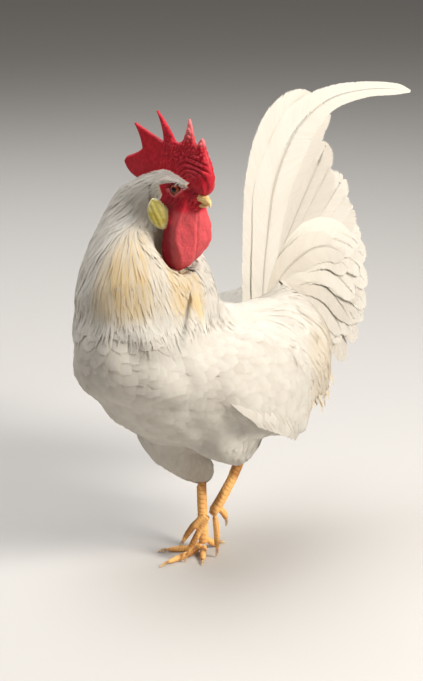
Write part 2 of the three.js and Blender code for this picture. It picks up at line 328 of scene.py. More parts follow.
class Vanes:
    """Many solid vanes that share their make-up: an upper and a lower side that meet all round.

    Arrays run by vane, then by point. Each point has its station along the vane, u from -1 to 1 across it
    and t from 0 to 1 along it; over is the way that the surface faces there.
    """

    def __init__(self, points, ups, half, lift, roll, section, thick, rng):
        count, stations = points.shape[:2]
        rows = stations - 2
        top = SECTIONS[section]
        middle_rows = np.arange(1, stations - 1)
        sides = (top, KEEL)
        along = [[0, *np.repeat(middle_rows, len(side)), stations - 1] for side in sides]
        self.station = np.concatenate(along)
        self.u = np.concatenate([[0, *np.tile(side, rows), 0] for side in sides]).astype(float)
        self.t = self.station / (stations - 1)
        size = 2 + rows * len(top)
        self.lower = np.arange(len(self.u)) >= size
        self.faces = np.array(strip_faces(rows, len(top), 0) + strip_faces(rows, len(KEEL), size))

        forward = unit(np.gradient(points, axis=1))
        across = unit(np.cross(forward, ups))
        over = unit(np.cross(across, forward))
        cos, sin = np.cos(roll)[:, None, None], np.sin(roll)[:, None, None]
        across, over = across * cos + over * sin, over * cos - across * sin
        across, over = across[:, self.station], over[:, self.station]
        nicks = rng.uniform(-1, 0.4, (count, stations, 2))
        uneven = 1 + RAGGED * np.linspace(0, 1, stations)[:, None] * nicks
        uneven = uneven[:, self.station, (self.u > 0).astype(int)]
        self.height = lift[:, self.station]
        self.sink = thick * (self.lower & (self.u == 0))
        wide = half[:, self.station]
        drop = CAMBER * wide * self.u**2 + self.sink
        self.points = points[:, self.station] + across * (wide * uneven * self.u)[..., None]
        self.points = self.points + over * (self.height - drop)[..., None]
        self.over = unit(over + across * (2 * CAMBER * self.u)[:, None])
        self.half = half
        self.path = points

    def fit(self, surface):
        """Bends the vanes to the surface under them, each point at its own height; a free end isn't bent."""
        under, _ = surface.nearest(self.path)
        free = np.linalg.norm(self.path - under, axis=-1) > FREE_FROM
        free = np.maximum.accumulate(free, axis=1)[:, self.station, None]
        laid, ups = surface.nearest(self.points)
        height = self.height - self.sink - EDGE_DIP * (np.abs(self.u) == 1)
        far = free | (np.linalg.norm(self.points - laid, axis=-1, keepdims=True) > MAX_FIT)
        self.points = np.where(far, self.points, laid + ups * height[..., None])
        self.over = np.where(far, self.over, unit(ups + 0.3 * self.over))

    def normals(self):
        """The way that each point's own side faces."""
        return self.over * np.where(self.lower, -1.0, 1.0)[:, None]


# ---------------------------------------------------------------- pieces
BAKE_PATCH = 0.003  # side of one feather's patch on the bake's map


def patches(unwrapped, u, t):
    """Each point's place on the bake map: a small patch for each feather at its root's place on the skin."""
    local = np.stack([u / 2, t - 0.5], -1) * BAKE_PATCH
    return unwrapped[:, None] + local


def add_piece(name, points, faces, material, slot, map_uv=None, normals=None, replaces=(), **attributes):
    """Makes one visible piece from points in the bird's frame, with its attributes by point."""
    mesh = mesh_of(name, in_metres(points), faces)
    if normals is not None:
        facing = mesh.attributes.new("custom_normal", "FLOAT_VECTOR", "POINT")
        facing.data.foreach_set("vector", normals.astype(np.float32).ravel())
    for key, values in attributes.items():
        kind = "FLOAT_VECTOR" if np.ndim(values) == 2 else "FLOAT"
        attribute = mesh.attributes.new(key, kind, "POINT")
        field = "vector" if kind == "FLOAT_VECTOR" else "value"
        attribute.data.foreach_set(field, np.asarray(values, np.float32).ravel())
    if map_uv is not None:
        layer = mesh.uv_layers.new(name="OFBake")
        layer.uv.foreach_set("vector", map_uv[faces.ravel()].astype(np.float32).ravel())
    mesh.materials.append(material)
    ob = linked(name, mesh)
    if replaces:
        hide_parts(*replaces)
    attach(ob, "root")


# ---------------------------------------------------------------- materials
def new_material(name):
    """A material with its nodes, its links and its shader."""
    material = bpy.data.materials.new(name)
    material.use_nodes = True
    nodes, links = material.node_tree.nodes, material.node_tree.links
    return material, nodes, links, nodes["Principled BSDF"]


def set_values(shader, values):
    """Sets sockets of the shader itself, none of which is linked."""
    for socket, value in values.items():
        shader.inputs[socket].default_value = value


def attribute_node(nodes, name):
    node = nodes.new("ShaderNodeAttribute")
    node.attribute_name = name
    return node


def noise_node(nodes, links, vector, scale, detail):
    node = nodes.new("ShaderNodeTexNoise")
    set_values(node, {"Scale": scale, "Detail": detail, "Roughness": 0.6})
    links.new(vector, node.inputs["Vector"])
    return node.outputs["Fac"]


def ramp_node(nodes, links, factor, *stops):
    """The colour of a ramp with stops of (position, colour)."""
    node = nodes.new("ShaderNodeValToRGB")
    elements = node.color_ramp.elements
    while len(elements) < len(stops):
        elements.new(0.5)
    for element, (position, color) in zip(elements, stops):
        element.position = position
        element.color = (*color, 1)
    links.new(factor, node.inputs["Fac"])
    return node.outputs["Color"]


def mix_node(nodes, links, factor, a, b, blend="MIX"):
    """Mixes two colours; each of factor, a and b is a socket or a value."""
    node = nodes.new("ShaderNodeMix")
    node.data_type = "RGBA"
    node.blend_type = blend
    for key, value in (("Factor", factor), ("A", a), ("B", b)):
        socket = [s for s in node.inputs if s.name == key and s.type in ("RGBA", "VALUE")]
        socket = socket[0] if key == "Factor" else [s for s in socket if s.type == "RGBA"][0]
        if isinstance(value, bpy.types.NodeSocket):
            links.new(value, socket)
        else:
            socket.default_value = value if key == "Factor" else (*value, 1)
    return [s for s in node.outputs if s.type == "RGBA"][0]


def math_node(nodes, links, operation, *values):
    node = nodes.new("ShaderNodeMath")
    node.operation = operation
    for socket, value in zip(node.inputs, values):
        if isinstance(value, bpy.types.NodeSocket):
            links.new(value, socket)
        else:
            socket.default_value = value
    return node.outputs[0]


def bump_node(nodes, links, height, strength, distance):
    node = nodes.new("ShaderNodeBump")
    set_values(node, {"Strength": strength, "Distance": distance})
    links.new(height, node.inputs["Height"])
    return node.outputs["Normal"]


WHITE = (0.91, 0.88, 0.81)
# SHADE is the darker feather tone: the shade attribute mixes towards it at random by feather and barb, and
# on the small feathers also as painted shade at their edges and roots.
SHADE = (0.79, 0.74, 0.66)
GOLD = (0.86, 0.70, 0.42)
FEATHER_GLOSS = {"Roughness": 0.62, "Specular IOR Level": 0.25, "Sheen Weight": 0.25, "Sheen Roughness": 0.5}
GLOW_SHARE = 0.45  # how much a vane glows with light from behind it, rather than reflecting
BARB_STEP = 0.55  # mm between the fine ridges of a vane


def plumage_material():
    """White feathers, creamy where the gold attribute says, with fine barbs running out from the shaft."""
    material, nodes, links, shader = new_material("plumage")
    shade = attribute_node(nodes, "shade").outputs["Fac"]
    gold = attribute_node(nodes, "gold").outputs["Fac"]
    split = nodes.new("ShaderNodeSeparateXYZ")
    links.new(attribute_node(nodes, "vane").outputs["Vector"], split.inputs[0])
    across = math_node(nodes, links, "ABSOLUTE", split.outputs["X"])
    slant = math_node(nodes, links, "MULTIPLY_ADD", across, -1.3, split.outputs["Y"])
    ridge = math_node(nodes, links, "SINE", math_node(nodes, links, "MULTIPLY", slant, math.tau / BARB_STEP))
    color = mix_node(nodes, links, shade, SHADE, WHITE)
    color = mix_node(nodes, links, gold, color, GOLD)
    barb = math_node(nodes, links, "MULTIPLY_ADD", ridge, 0.04, 0.96)
    color = mix_node(nodes, links, 1.0, color, barb, "MULTIPLY")
    links.new(color, shader.inputs["Base Color"])
    links.new(bump_node(nodes, links, ridge, 0.25, 0.0002), shader.inputs["Normal"])
    set_values(shader, FEATHER_GLOSS)
    glow = nodes.new("ShaderNodeBsdfTranslucent")
    links.new(color, glow.inputs["Color"])
    both = nodes.new("ShaderNodeMixShader")
    both.inputs["Fac"].default_value = GLOW_SHARE
    links.new(shader.outputs[0], both.inputs[1])
    links.new(glow.outputs[0], both.inputs[2])
    links.new(both.outputs[0], nodes["Material Output"].inputs["Surface"])
    return material


PLUMAGE = plumage_material()

# ---------------------------------------------------------------- regions of the coat
FEATHERED = ["trunk", "neck", "tail_root", *paired("thigh", "wing", "saddle")]


class Regions:
    """Says which CAD node is nearest to a point."""

    def __init__(self, names):
        self.names = names
        parts = [node_arrays(name) for name in names]
        points, triangles = joined_arrays(parts)
        self.of_face = np.repeat(np.arange(len(names)), [len(faces) for _, faces in parts])
        self.tree = BVHTree.FromPolygons(points.tolist(), triangles.tolist())

    def at(self, points):
        return self.of_face[[self.tree.find_nearest(p)[2] for p in points.tolist()]]

    def within(self, points, *parts):
        """Where the nearest node's name starts with one of the parts."""
        names = np.array([name.startswith(parts) for name in self.names])
        return names[self.at(points)]


# ---------------------------------------------------------------- how the feathers lie
def side_of(points):
    """1 on the left and -1 on the right, changing smoothly over the middle."""
    return np.tanh(points[:, 0] / 12)


def steady(*way):
    """A flow that is the same everywhere."""
    return lambda points, ups: np.broadcast_to(np.array(way, float), points.shape)


def trunk_flow(points, ups):
    """Back along the body, and down over the breast and flanks."""
    down = mix(-0.75, -0.45, smoothstep(-120, 20, points[:, 1]))
    return np.stack([side_of(points) * 0.05, np.ones(len(points)), down], 1)


def neck_flow(points, ups):
    """From the face back round the nape and down, spreading over the shoulders."""
    nape = smoothstep(395, 440, points[:, 2])
    x = mix(0.05 * side_of(points), -0.9, nape)
    y = mix(0.16, 0.05, nape)
    return np.stack([x, y, mix(-1.0, -0.8, nape)], 1)


def saddle_flow(points, ups):
    """Back over the rump, then hanging down past the wing tips."""
    hang = smoothstep(300, 250, points[:, 2])
    return np.stack([side_of(points) * 0.3, mix(0.9, 0.5, hang), mix(-0.5, -1.0, hang)], 1)


def wing_flow(points, ups):
    """Back along the wing, and down more towards its rear."""
    rear = smoothstep(-60, 60, points[:, 1])
    return np.stack([np.zeros(len(points)), np.full(len(points), 1.0), mix(-0.35, -0.85, rear)], 1)


# ---------------------------------------------------------------- outlines of small feathers, root to tip
def pointed(t):
    rise = np.clip(t / 0.25, 0, 1) ** 0.5
    return rise * (1 - np.clip((t - 0.3) / 0.7, 0, 1) ** 1.8) ** 0.9


def rounded(t):
    rise = np.clip(t / 0.35, 0, 1) ** 0.6
    return rise * np.sqrt(np.clip(1 - np.clip((t - 0.55) / 0.45, 0, 1) ** 2, 0, 1))


MAX_TRIANGLES = 190_000  # in one piece of the coat
MAP_MARGIN = 0.03  # of the bake map, left free along each edge


def in_margins(share):
    """A share of the bake map, moved inside its margins."""
    return MAP_MARGIN + (1 - 2 * MAP_MARGIN) * share


def unwrap_about(axis, centre, low, high):
    """An unwrap about an upright (2) or lengthwise (1) axis: the body part's own angle and length."""
    others = [k for k in (0, 1, 2) if k != axis]

    def unwrap(points):
        turned = points[:, others] - centre
        angle = np.arctan2(turned[:, 0], turned[:, 1]) / math.tau + 0.5
        return in_margins(np.stack([angle, (points[:, axis] - low) / (high - low)], 1))

    return unwrap


def pale(points):
    """No gold anywhere."""
    return np.zeros(points.shape[:-1])


NECK_MIDDLE = (-12, -82)


def hackle_gold(points):
    """How brassy the hackle is: creamy where the head looks to, and most in two bands beside a pale bib."""
    x, y, z = points[..., 0], points[..., 1], points[..., 2]
    bearing = np.degrees(np.arctan2(x - NECK_MIDDLE[0], NECK_MIDDLE[1] - y))
    left = smoothstep(-8, 14, bearing) * smoothstep(52, 40, bearing)
    right = smoothstep(60, 70, bearing) * smoothstep(104, 90, bearing)
    creamy = 0.2 * smoothstep(-5, 30, bearing) * smoothstep(110, 90, bearing)
    ends = smoothstep(308, 330, z)
    return ((left + 0.8 * right) * 0.75 * smoothstep(415, 365, z) + creamy * smoothstep(445, 400, z)) * ends


def saddle_gold(points):
    """How brassy the saddle is: a little, where its ends hang down."""
    return 0.3 * smoothstep(70, 100, points[..., 1]) * smoothstep(290, 240, points[..., 2])


ROLL = 0.04  # how unevenly the small feathers turn about their shafts
BLOCKED_SHARE = 0.35  # of its length that a feather keeps where it would run into a wattle or ear lobe


def coat(
    name, surface, seeds, flow, lengths, half, unwrap, slot, seed, outline=rounded, section="narrow",
    stations=8, lift=(-2.0, 0.6), lift_spread=0.5, sway=0.12, thick=0.35, gold=pale, uneven=(0.85, 1.12),
    fit=False, clear=False,
):
    """One region of small feathers, as one or more pieces. seeds are (points, normals)."""
    rng = np.random.default_rng(seed)
    roots, normals = seeds
    lengths = lengths(roots) * rng.uniform(*uneven, len(roots))
    sways = rng.normal(0, sway, len(roots))
    laid = lambda at: paths_on(surface, roots[at], normals[at], flow, lengths[at], stations, sways[at])
    points, ups = laid(slice(None))
    if clear:
        blocked = np.nonzero(~clear_of_head(points))[0]
        if len(blocked):
            lengths[blocked] *= BLOCKED_SHARE
            points[blocked], ups[blocked] = laid(blocked)
        kept = clear_of_head(points)
        points, ups, roots, lengths = (values[kept] for values in (points, ups, roots, lengths))
    count = len(roots)
    t = np.linspace(0, 1, stations)
    widths = (half(roots) * rng.uniform(0.88, 1.1, count))[:, None] * outline(t)
    heights = mix(*lift, t) + rng.normal(0, lift_spread, (count, 1)) * t
    made = Vanes(points, ups, widths, heights, rng.normal(0, ROLL, count), section, thick, rng)
    if fit:
        made.fit(surface)
    # Painted shade: each small feather is darker along its edges and towards its root and lighter towards
    # its tip; the rest of its shade value differs at random by feather.
    root_and_edge_shade = 0.4 * smoothstep(0.3, 0.95, made.t) - 0.25 * np.abs(made.u) ** 3
    shade = rng.uniform(0.1, 1, (count, 1)) * 0.6 + root_and_edge_shade
    golden = gold(made.points) * rng.uniform(0.45, 1.35, (count, 1)) * smoothstep(0.05, 0.5, made.t)
    add_vanes(name, made, roots, unwrap, slot, lengths, shade, np.clip(golden, 0, 1))


def clear_of_head(paths):
    """Which paths keep off the wattles and ear lobes."""
    flat = paths.reshape(-1, 3)
    field = np.minimum(wattles_distance(flat), lobe_field(to_head(flat))).reshape(paths.shape[:2])
    return (field[:, paths.shape[1] // 4 :] > -1.0).all(1)


def add_vanes(name, made, roots, unwrap, slot, lengths, shade, gold):
    """Makes the pieces of a set of vanes, each with few enough triangles."""
    count, size = len(roots), len(made.u)
    vane = np.stack([made.u * made.half[:, made.station], made.t * lengths[:, None], 0 * shade], -1)
    uv = patches(unwrap(roots), made.u, made.t)
    normals = made.normals()
    pieces = max(1, math.ceil(count * len(made.faces) / MAX_TRIANGLES))
    order = np.argsort(roots[:, 1], kind="stable")
    for index, chosen in enumerate(np.array_split(order, pieces)):
        offsets = (np.arange(len(chosen)) * size)[:, None, None]
        add_piece(
            name if pieces == 1 else f"{name}_{index + 1}",
            made.points[chosen].reshape(-1, 3),
            (made.faces[None] + offsets).reshape(-1, 3),
            PLUMAGE,
            slot,
            uv[chosen].reshape(-1, 2),
            normals[chosen].reshape(-1, 3),
            shade=shade[chosen].ravel(),
            gold=gold[chosen].ravel(),
            vane=vane[chosen].reshape(-1, 3),
        )


# ---------------------------------------------------------------- the head's own frame
# A place on the head is given as side (its left is +), forward and up from the middle of the skull.
UP = np.array([0.0, 0.0, 1.0])
EYE_FORWARD = 21.5
EYE_UP = 5.5
EYES = {name: in_millimetres(middle(f"eye_{name}")) for name in SIDES}
HEAD_SIDE = unit((EYES["left"] - EYES["right"]) * (1, 1, 0))
HEAD_FORWARD = np.cross(HEAD_SIDE, UP)
HEAD_MIDDLE = (EYES["left"] + EYES["right"]) / 2 - HEAD_FORWARD * EYE_FORWARD - UP * EYE_UP


def to_head(points):
    offset = points - HEAD_MIDDLE
    return np.stack([offset @ HEAD_SIDE, offset @ HEAD_FORWARD, offset @ UP], -1)


def from_head(local):
    side, forward, up = local[..., :1], local[..., 1:2], local[..., 2:]
    return HEAD_MIDDLE + side * HEAD_SIDE + forward * HEAD_FORWARD + up * UP


# ---------------------------------------------------------------- fields: distance to a form, under 0 inside
def merged(a, b, radius):
    """Both forms, with a fillet of about the radius where they meet."""
    h = np.clip(0.5 + 0.5 * (b - a) / radius, 0, 1)
    return mix(b, a, h) - radius * h * (1 - h)


def hollowed(a, b, radius):
    """The first form with the second taken out."""
    return -merged(-a, b, radius)


def ellipsoid(p, centre, radii):
    """Nearly the distance to an ellipsoid that lies along the axes."""
    q = (p - centre) / radii
    k = np.sqrt(np.sum(q * q, -1))
    steep = np.sqrt(np.sum((q / radii) ** 2, -1))
    return k * (k - 1) / np.maximum(steep, 1e-6)


def bar(p, a, b, radius_a, radius_b):
    """A round bar from a to b."""
    a, b = np.array(a, float), np.array(b, float)
    t = np.clip((p - a) @ (b - a) / ((b - a) @ (b - a)), 0, 1)
    gap = p - a - t[..., None] * (b - a)
    return np.sqrt(np.sum(gap * gap, -1)) - mix(radius_a, radius_b, t)


def bump(distance, width):
    """1 at no distance, and fading away over the width."""
    return np.exp(-((distance / width) ** 2))


def lumps(p, size, seed, count=7):
    """Smooth unevenness from -1 to 1, with lumps of about the size."""
    rng = np.random.default_rng(seed)
    total = 0
    for way, phase in zip(unit(rng.normal(size=(count, 3))), rng.uniform(0, math.tau, count)):
        total = total + np.sin(p @ way * (math.tau / size) + phase)
    return total / math.sqrt(count)


PIMPLE_PLACES = np.random.default_rng(5).random((64, 64, 2))


def pimples(a, b, size):
    """1 on the top of each of many small mounds strewn over the plane of a and b, and 0 between them."""
    a, b = a / size, b / size
    column, row = np.floor(a).astype(int), np.floor(b).astype(int)
    nearest = np.full(np.shape(a), 9.0)
    for da in (-1, 0, 1):
        for db in (-1, 0, 1):
            place = PIMPLE_PLACES[(column + da) % 64, (row + db) % 64]
            gap = np.hypot(a - column - da - place[..., 0], b - row - db - place[..., 1])
            nearest = np.minimum(nearest, gap)
    return smoothstep(0.75, 0.1, nearest)


# ---------------------------------------------------------------- the comb
# Its outline, as (forward, up) of each stretch's end and of what the stretch bends towards.
COMB_EDGE = [
    ((52, 1), None), ((2, 15), (24, 8)), ((-16, 17), None), ((-42, 4), (-26, 6)), ((-72, 21), (-64, 5)),
    ((-64, 29), (-71, 26)), ((-43, 39), (-50, 33)), ((-59, 67), (-47, 54)), ((-12, 50), (-36, 58)),
    ((-25, 85), (-12, 66)), ((7, 53), (-6, 71)), ((20, 56), (14, 51)), ((30, 82), (27, 67)),
    ((37, 57), (36, 70)), ((43, 54), (40, 52)), ((50, 62), (45, 59)), ((54, 50), (54, 57)),
    ((64, 18), (63, 36)), ((52, 1), (63, 3)),
]
COMB_STEP = 0.5


def bent_line(stretches, steps=9):
    """Points along an outline of straight and bent stretches."""
    line = [stretches[0][0]]
    for end, towards in stretches[1:]:
        start = line[-1]
        for t in (1.0,) if towards is None else np.linspace(0, 1, steps)[1:]:
            via = towards or end
            ways = zip(start, via, end)
            line.append([(1 - t) ** 2 * a + 2 * t * (1 - t) * b + t * t * c for a, b, c in ways])
    return np.array(line)


def depth_inside(outline, points):
    """How far inside a closed outline each point of its plane is, less than 0 outside."""
    a, b = outline, np.roll(outline, -1, axis=0)
    best = np.full(len(points), 1e9)
    inside = np.zeros(len(points), bool)
    for (ax, ay), (bx, by) in zip(a, b):
        px, py = points[:, 0] - ax, points[:, 1] - ay
        dx, dy = bx - ax, by - ay
        t = np.clip((px * dx + py * dy) / max(dx * dx + dy * dy, 1e-9), 0, 1)
        best = np.minimum(best, (px - t * dx) ** 2 + (py - t * dy) ** 2)
        crosses = (ay > points[:, 1]) != (by > points[:, 1])
        if dy:
            inside ^= crosses & (points[:, 0] < ax + dx * (points[:, 1] - ay) / dy)
    return np.where(inside, 1, -1) * np.sqrt(best)


class Depth:
    """How far inside a closed outline a place of its plane is, read between the places of a grid."""

    def __init__(self, outline):
        self.low = outline.min(0) - 12
        count = np.ceil((outline.max(0) + 12 - self.low) / COMB_STEP).astype(int)
        f, z = np.meshgrid(*(self.low[k] + COMB_STEP * np.arange(count[k]) for k in (0, 1)), indexing="ij")
        self.values = depth_inside(outline, np.stack([f.ravel(), z.ravel()], 1)).reshape(f.shape)

    def read(self, f, z):
        """The depth; beyond the grid the distance to the grid is taken off."""
        limit = np.array(self.values.shape) - 1.001
        x, y = (f - self.low[0]) / COMB_STEP, (z - self.low[1]) / COMB_STEP
        cx, cy = np.clip(x, 0, limit[0]), np.clip(y, 0, limit[1])
        i, j = cx.astype(int), cy.astype(int)
        u, v = cx - i, cy - j
        v0 = mix(self.values[i, j], self.values[i + 1, j], u)
        v1 = mix(self.values[i, j + 1], self.values[i + 1, j + 1], u)
        return mix(v0, v1, v) - COMB_STEP * np.hypot(x - cx, y - cy)


COMB = Depth(bent_line(COMB_EDGE))
FOLDS_AT = (39.0, 10.0)  # forward and up of the middle of the comb's curved folds
FOLD_STEP = 5.2


def comb_relief(f, z, s):
    """How far the folds and pimples of the comb rise."""
    ahead, above = f - FOLDS_AT[0], z - FOLDS_AT[1]
    radius = np.hypot(ahead / 1.2, above)
    front = smoothstep(-16, 6, ahead * 0.8 + above)
    bent = 1.3 * np.sin(f / 8 + z / 13) + 0.9 * np.sin(z / 4.5 - f / 11 + s / 4)
    folds = np.sin(radius * (math.tau / FOLD_STEP) + bent) * smoothstep(6, 11, radius)
    folds = folds * (0.75 + 0.25 * np.sin(z / 5 + 1)) * smoothstep(33, 25, radius) * front
    rough = smoothstep(27, 36, z) * smoothstep(-12, 10, f) * smoothstep(80, 62, z)
    rough = np.maximum(rough, 0.5 * smoothstep(-24, -8, f) * smoothstep(16, 24, z))
    rough = rough * (1 - 0.8 * (np.abs(folds) > 0.3))
    return 1.5 * folds + 2.1 * rough * pimples(f + 0.3 * s, z, 3.6)


def comb_field(p):
    """The comb: a wavy blade, thick and folded over the beak."""
    s, f, z = p[..., 0], p[..., 1], p[..., 2]
    wave = 1.3 * np.sin(f / 19 + z / 31 + 0.6) * smoothstep(15, 45, z)
    bulge = bump(np.hypot(f - 46, (z - 17) * 0.85), 18)
    depth = COMB.read(f, z)
    thick = 2.3 + 2.2 * smoothstep(58, 12, z) + 5.2 * bulge
    edge = 4.2 + 6.0 * bulge
    near = 1 - np.clip(depth / edge, 0, 1)
    height = np.where(depth > 0, thick * np.sqrt(np.clip(1 - near**2, 0, 1)), depth)
    relief = comb_relief(f, z, s) * smoothstep(0, 3, depth)
    return 0.8 * (np.abs(s - wave) - height - relief)


# ---------------------------------------------------------------- wattles and ear lobes
# Level cuts of each wattle: up, then side and forward of its rear edge, of its fold and of its inner edge,
# then its half thickness.
WATTLES = {
    "right": [
        (-2, (-10, 14), (-9, 34), (-1, 38), 2.4), (-18, (-13, 13), (-14, 31), (-1.5, 39), 2.8),
        (-34, (-16, 10), (-17, 27), (-3, 38), 3.0), (-50, (-17, 9), (-17.5, 28), (-3.6, 38), 3.3),
        (-62, (-17, 8.5), (-15, 31), (-4.5, 37), 3.6), (-71, (-16, 8.5), (-13, 30), (-5, 34), 4.0),
        (-77, (-14.5, 9.5), (-11, 26), (-6, 29), 3.8), (-82, (-12.5, 11), (-10, 20), (-8, 22), 2.6),
        (-84.5, (-11, 13), (-10, 17), (-9, 18), 0.0),
    ],
    "left": [
        (-2, (10, 14), (10, 34), (1, 38), 2.4), (-18, (13, 15), (14, 35), (1.5, 40), 2.8),
        (-34, (17, 17), (17, 39), (2.5, 39), 3.0), (-50, (19, 17), (16, 40), (3, 38), 3.3),
        (-60, (18, 15), (13.5, 35), (3.5, 34), 3.6), (-69, (16, 14), (10.5, 28), (4, 28), 3.8),
        (-75, (13, 14), (8.5, 22), (5, 22), 3.0), (-79, (11, 15), (8, 18), (6, 18), 1.6),
        (-81, (10, 16), (8, 17), (7, 17), 0.0),
    ],
}


def strip_distance(s, f, a, b):
    """Distance in a level plane to the line from a to b, each a pair of arrays."""
    dx, dy = b[0] - a[0], b[1] - a[1]
    px, py = s - a[0], f - a[1]
    t = np.clip((px * dx + py * dy) / np.maximum(dx * dx + dy * dy, 1e-6), 0, 1)
    return np.hypot(px - t * dx, py - t * dy)


def wattle_field(p, cuts):
    """One wattle: a leaf folded along its length, hanging from the throat."""
    s, f, z = p[..., 0], p[..., 1], p[..., 2]
    up, *edges, thick = zip(*cuts[::-1])
    rear, fold, inner = ([np.interp(z, up, places) for places in zip(*edge)] for edge in edges)
    thick = np.interp(z, up, thick)
    gap = merged(strip_distance(s, f, rear, fold) + 0.4, strip_distance(s, f, fold, inner), 2.0)
    below = np.maximum(up[0] - z, 0)
    above = np.maximum(z - up[-1], 0)
    rough = 0.35 * lumps(p * (1, 1, 0.6), 9, 31)
    rough = rough + 0.45 * pimples(f + s, z, 3.4) * smoothstep(-10, 4, f - 22)
    return 0.85 * (np.sqrt(gap**2 + below**2 + above**2) - thick - 0.55 * rough * (thick > 1))


def wattles_field(p):
    return np.minimum(*(wattle_field(p, cuts) for cuts in WATTLES.values()))


LOBE_MIDDLE = np.array([21.5, 3.0, -22.5])
LOBE_DOWN = unit(np.array([-0.05, 0.42, -0.9]))
LOBE_OUT = unit(np.array([0.82, 0.57, 0.25]))
LOBE_HALF = (11.3, 17.8)  # across and down
LOBE_THICK = 3.3


def lobe_places(p):
    """How far points are across, down and out from the nearer ear lobe's middle, and in from its edge."""
    q = np.stack([np.abs(p[..., 0]), p[..., 1], p[..., 2]], -1) - LOBE_MIDDLE
    out = unit(LOBE_OUT - LOBE_DOWN * (LOBE_OUT @ LOBE_DOWN))
    across, down, away = q @ np.cross(LOBE_DOWN, out), q @ LOBE_DOWN, q @ out
    half, tall = LOBE_HALF
    arc = (half**2 + tall**2) / (2 * half)
    inside = arc - np.hypot(np.abs(across) + arc - half, down)
    return across, down, away, inside


def lobe_field(p):
    """The ear lobes: smooth pads with a raised rim and shallow creases."""
    across, down, away, inside = lobe_places(p)
    near = 1 - np.clip(inside / 6.5, 0, 1)
    height = np.where(inside > 0, LOBE_THICK * np.sqrt(np.clip(1 - near**2, 0, 1)), inside)
    crease = 0.35 * np.sin(across * 1.1 + 0.12 * down) * smoothstep(1, 4, inside)
    return 0.85 * (np.abs(away + 0.02 * across**2 - 1) - height - 0.5 * bump(inside - 1.8, 1.1) - crease)


# ---------------------------------------------------------------- the face
EYE_SIDE = 10.2  # from the middle of the head to the middle of each eye
EYE_RADIUS = 8.2
OPENING = (8.2, 5.0, 4.7)  # half width, and height above and below the corners, of the gap between the lids
EYE_TILT = 0.12


def lid_places(p):
    """How far points are outside the lids' opening, from the eye's middle and above the opening's line."""
    s, f, z = np.abs(p[..., 0]), p[..., 1], p[..., 2]
    x = f - EYE_FORWARD
    up = z - EYE_UP - EYE_TILT * x
    half, high, low = OPENING
    arch = 1 - (x / half) ** 2
    outside = np.maximum(up - high * arch, -low * arch - up)
    outside = np.where(np.abs(x) > half, np.hypot(np.abs(x) - half, up), outside)
    return outside, np.sqrt((s - EYE_SIDE) ** 2 + x**2 + (z - EYE_UP) ** 2), up


def lids_field(p):
    """The lids on the ball of the eye: a thin cover with a rim round the opening, and folds under it."""
    outside, far, up = lid_places(p)
    lid = np.maximum(far - EYE_RADIUS - 0.7, 0.5 - outside)
    rim = np.hypot(far - EYE_RADIUS - 0.5, outside - 0.9) - 0.8
    pouch = np.hypot(far - EYE_RADIUS - 0.5, outside - 3.4) - 1.0
    second = np.hypot(far - EYE_RADIUS + 0.6, outside - 5.8) - 1.1
    folds = np.where(up < 0, np.minimum(pouch, second), 9.0)
    return merged(merged(lid, rim, 0.6), folds, 0.9)


def skull_field(p):
    """The skull with its muzzle, brows, cheeks, eye sockets and nostrils, the same on both sides."""
    q = np.stack([np.abs(p[..., 0]), p[..., 1], p[..., 2]], -1)
    form = ellipsoid(q, (0, 0, 3), (16.5, 26, 18.5))
    form = merged(form, ellipsoid(q, (8.0, 19, 4), (8.3, 16, 12)), 5)
    form = merged(form, bar(q, (0, 18, 3), (0, 39.5, 0.6), 12, 9.9), 5)
    form = merged(form, bar(q, (0, 10, -11), (0, 44, -9.5), 11, 5.4), 4)
    form = merged(form, bar(q, (9, 4, -9), (7, 30, -10), 9.5, 6), 4)
    form = merged(form, bar(q, (0, -8, -2), (0, -30, -8), 19, 20), 8)
    form = merged(form, bar(q, (13.5, 6, 12), (10.5, 36, 11), 2.6, 2.6), 4)
    form = hollowed(form, ellipsoid(q, (19.5, 21.5, 5.5), (7.5, 12.5, 8)), 3)
    form = hollowed(form, bar(q, (13, 37, 5), (9, 44, 2), 2.2, 1.8), 3)
    return hollowed(form, bar(q, (7, 44, 3), (5.5, 49, 3.5), 1.6, 1.2), 1)


def nape_field(p):
    """The skull with the plumage that joins it to the neck."""
    return merged(skull_field(p), bar(p, (0, -10, -4), (15, -52, -30), 20, 41), 16)


def face_relief(p):
    """Wrinkles that run down and back from the beak, and fine pimples."""
    f, z = p[..., 1], p[..., 2]
    low = smoothstep(2, -6, z) * smoothstep(-14, 0, f)
    lines = np.sin((f * 0.75 - z * 0.65 + 1.5 * np.sin(z / 5)) * (math.tau / 4.3)) * low
    return 0.45 * lines + 0.4 * pimples(f, z * 1.1, 2.6) * smoothstep(-8, 4, f)


def head_field(p):
    """The whole bare head: skull, lids, comb, wattles and lobes."""
    form = skull_field(p) - face_relief(p)
    form = merged(form, lids_field(p), 1.4)
    form = merged(form, comb_field(p), 3.0)
    for cuts in WATTLES.values():
        form = merged(form, wattle_field(p, cuts), 1.2)
    form = merged(form, lobe_field(p), 0.6)
    eye = np.stack([np.abs(p[..., 0]) - EYE_SIDE, p[..., 1] - EYE_FORWARD, p[..., 2] - EYE_UP], -1)
    return np.maximum(form, EYE_RADIUS + 0.15 - np.sqrt(np.sum(eye * eye, -1)))


# The boxes, in the head's frame, within which the fields are worked out.
HEAD_LOW = np.array([-38.0, -76.0, -94.0])
HEAD_HIGH = np.array([38.0, 76.0, 92.0])
HEAD_STEP = 1.2
NAPE_LOW = np.array([-66.0, -112.0, -94.0])
NAPE_HIGH = np.array([78.0, 76.0, 92.0])


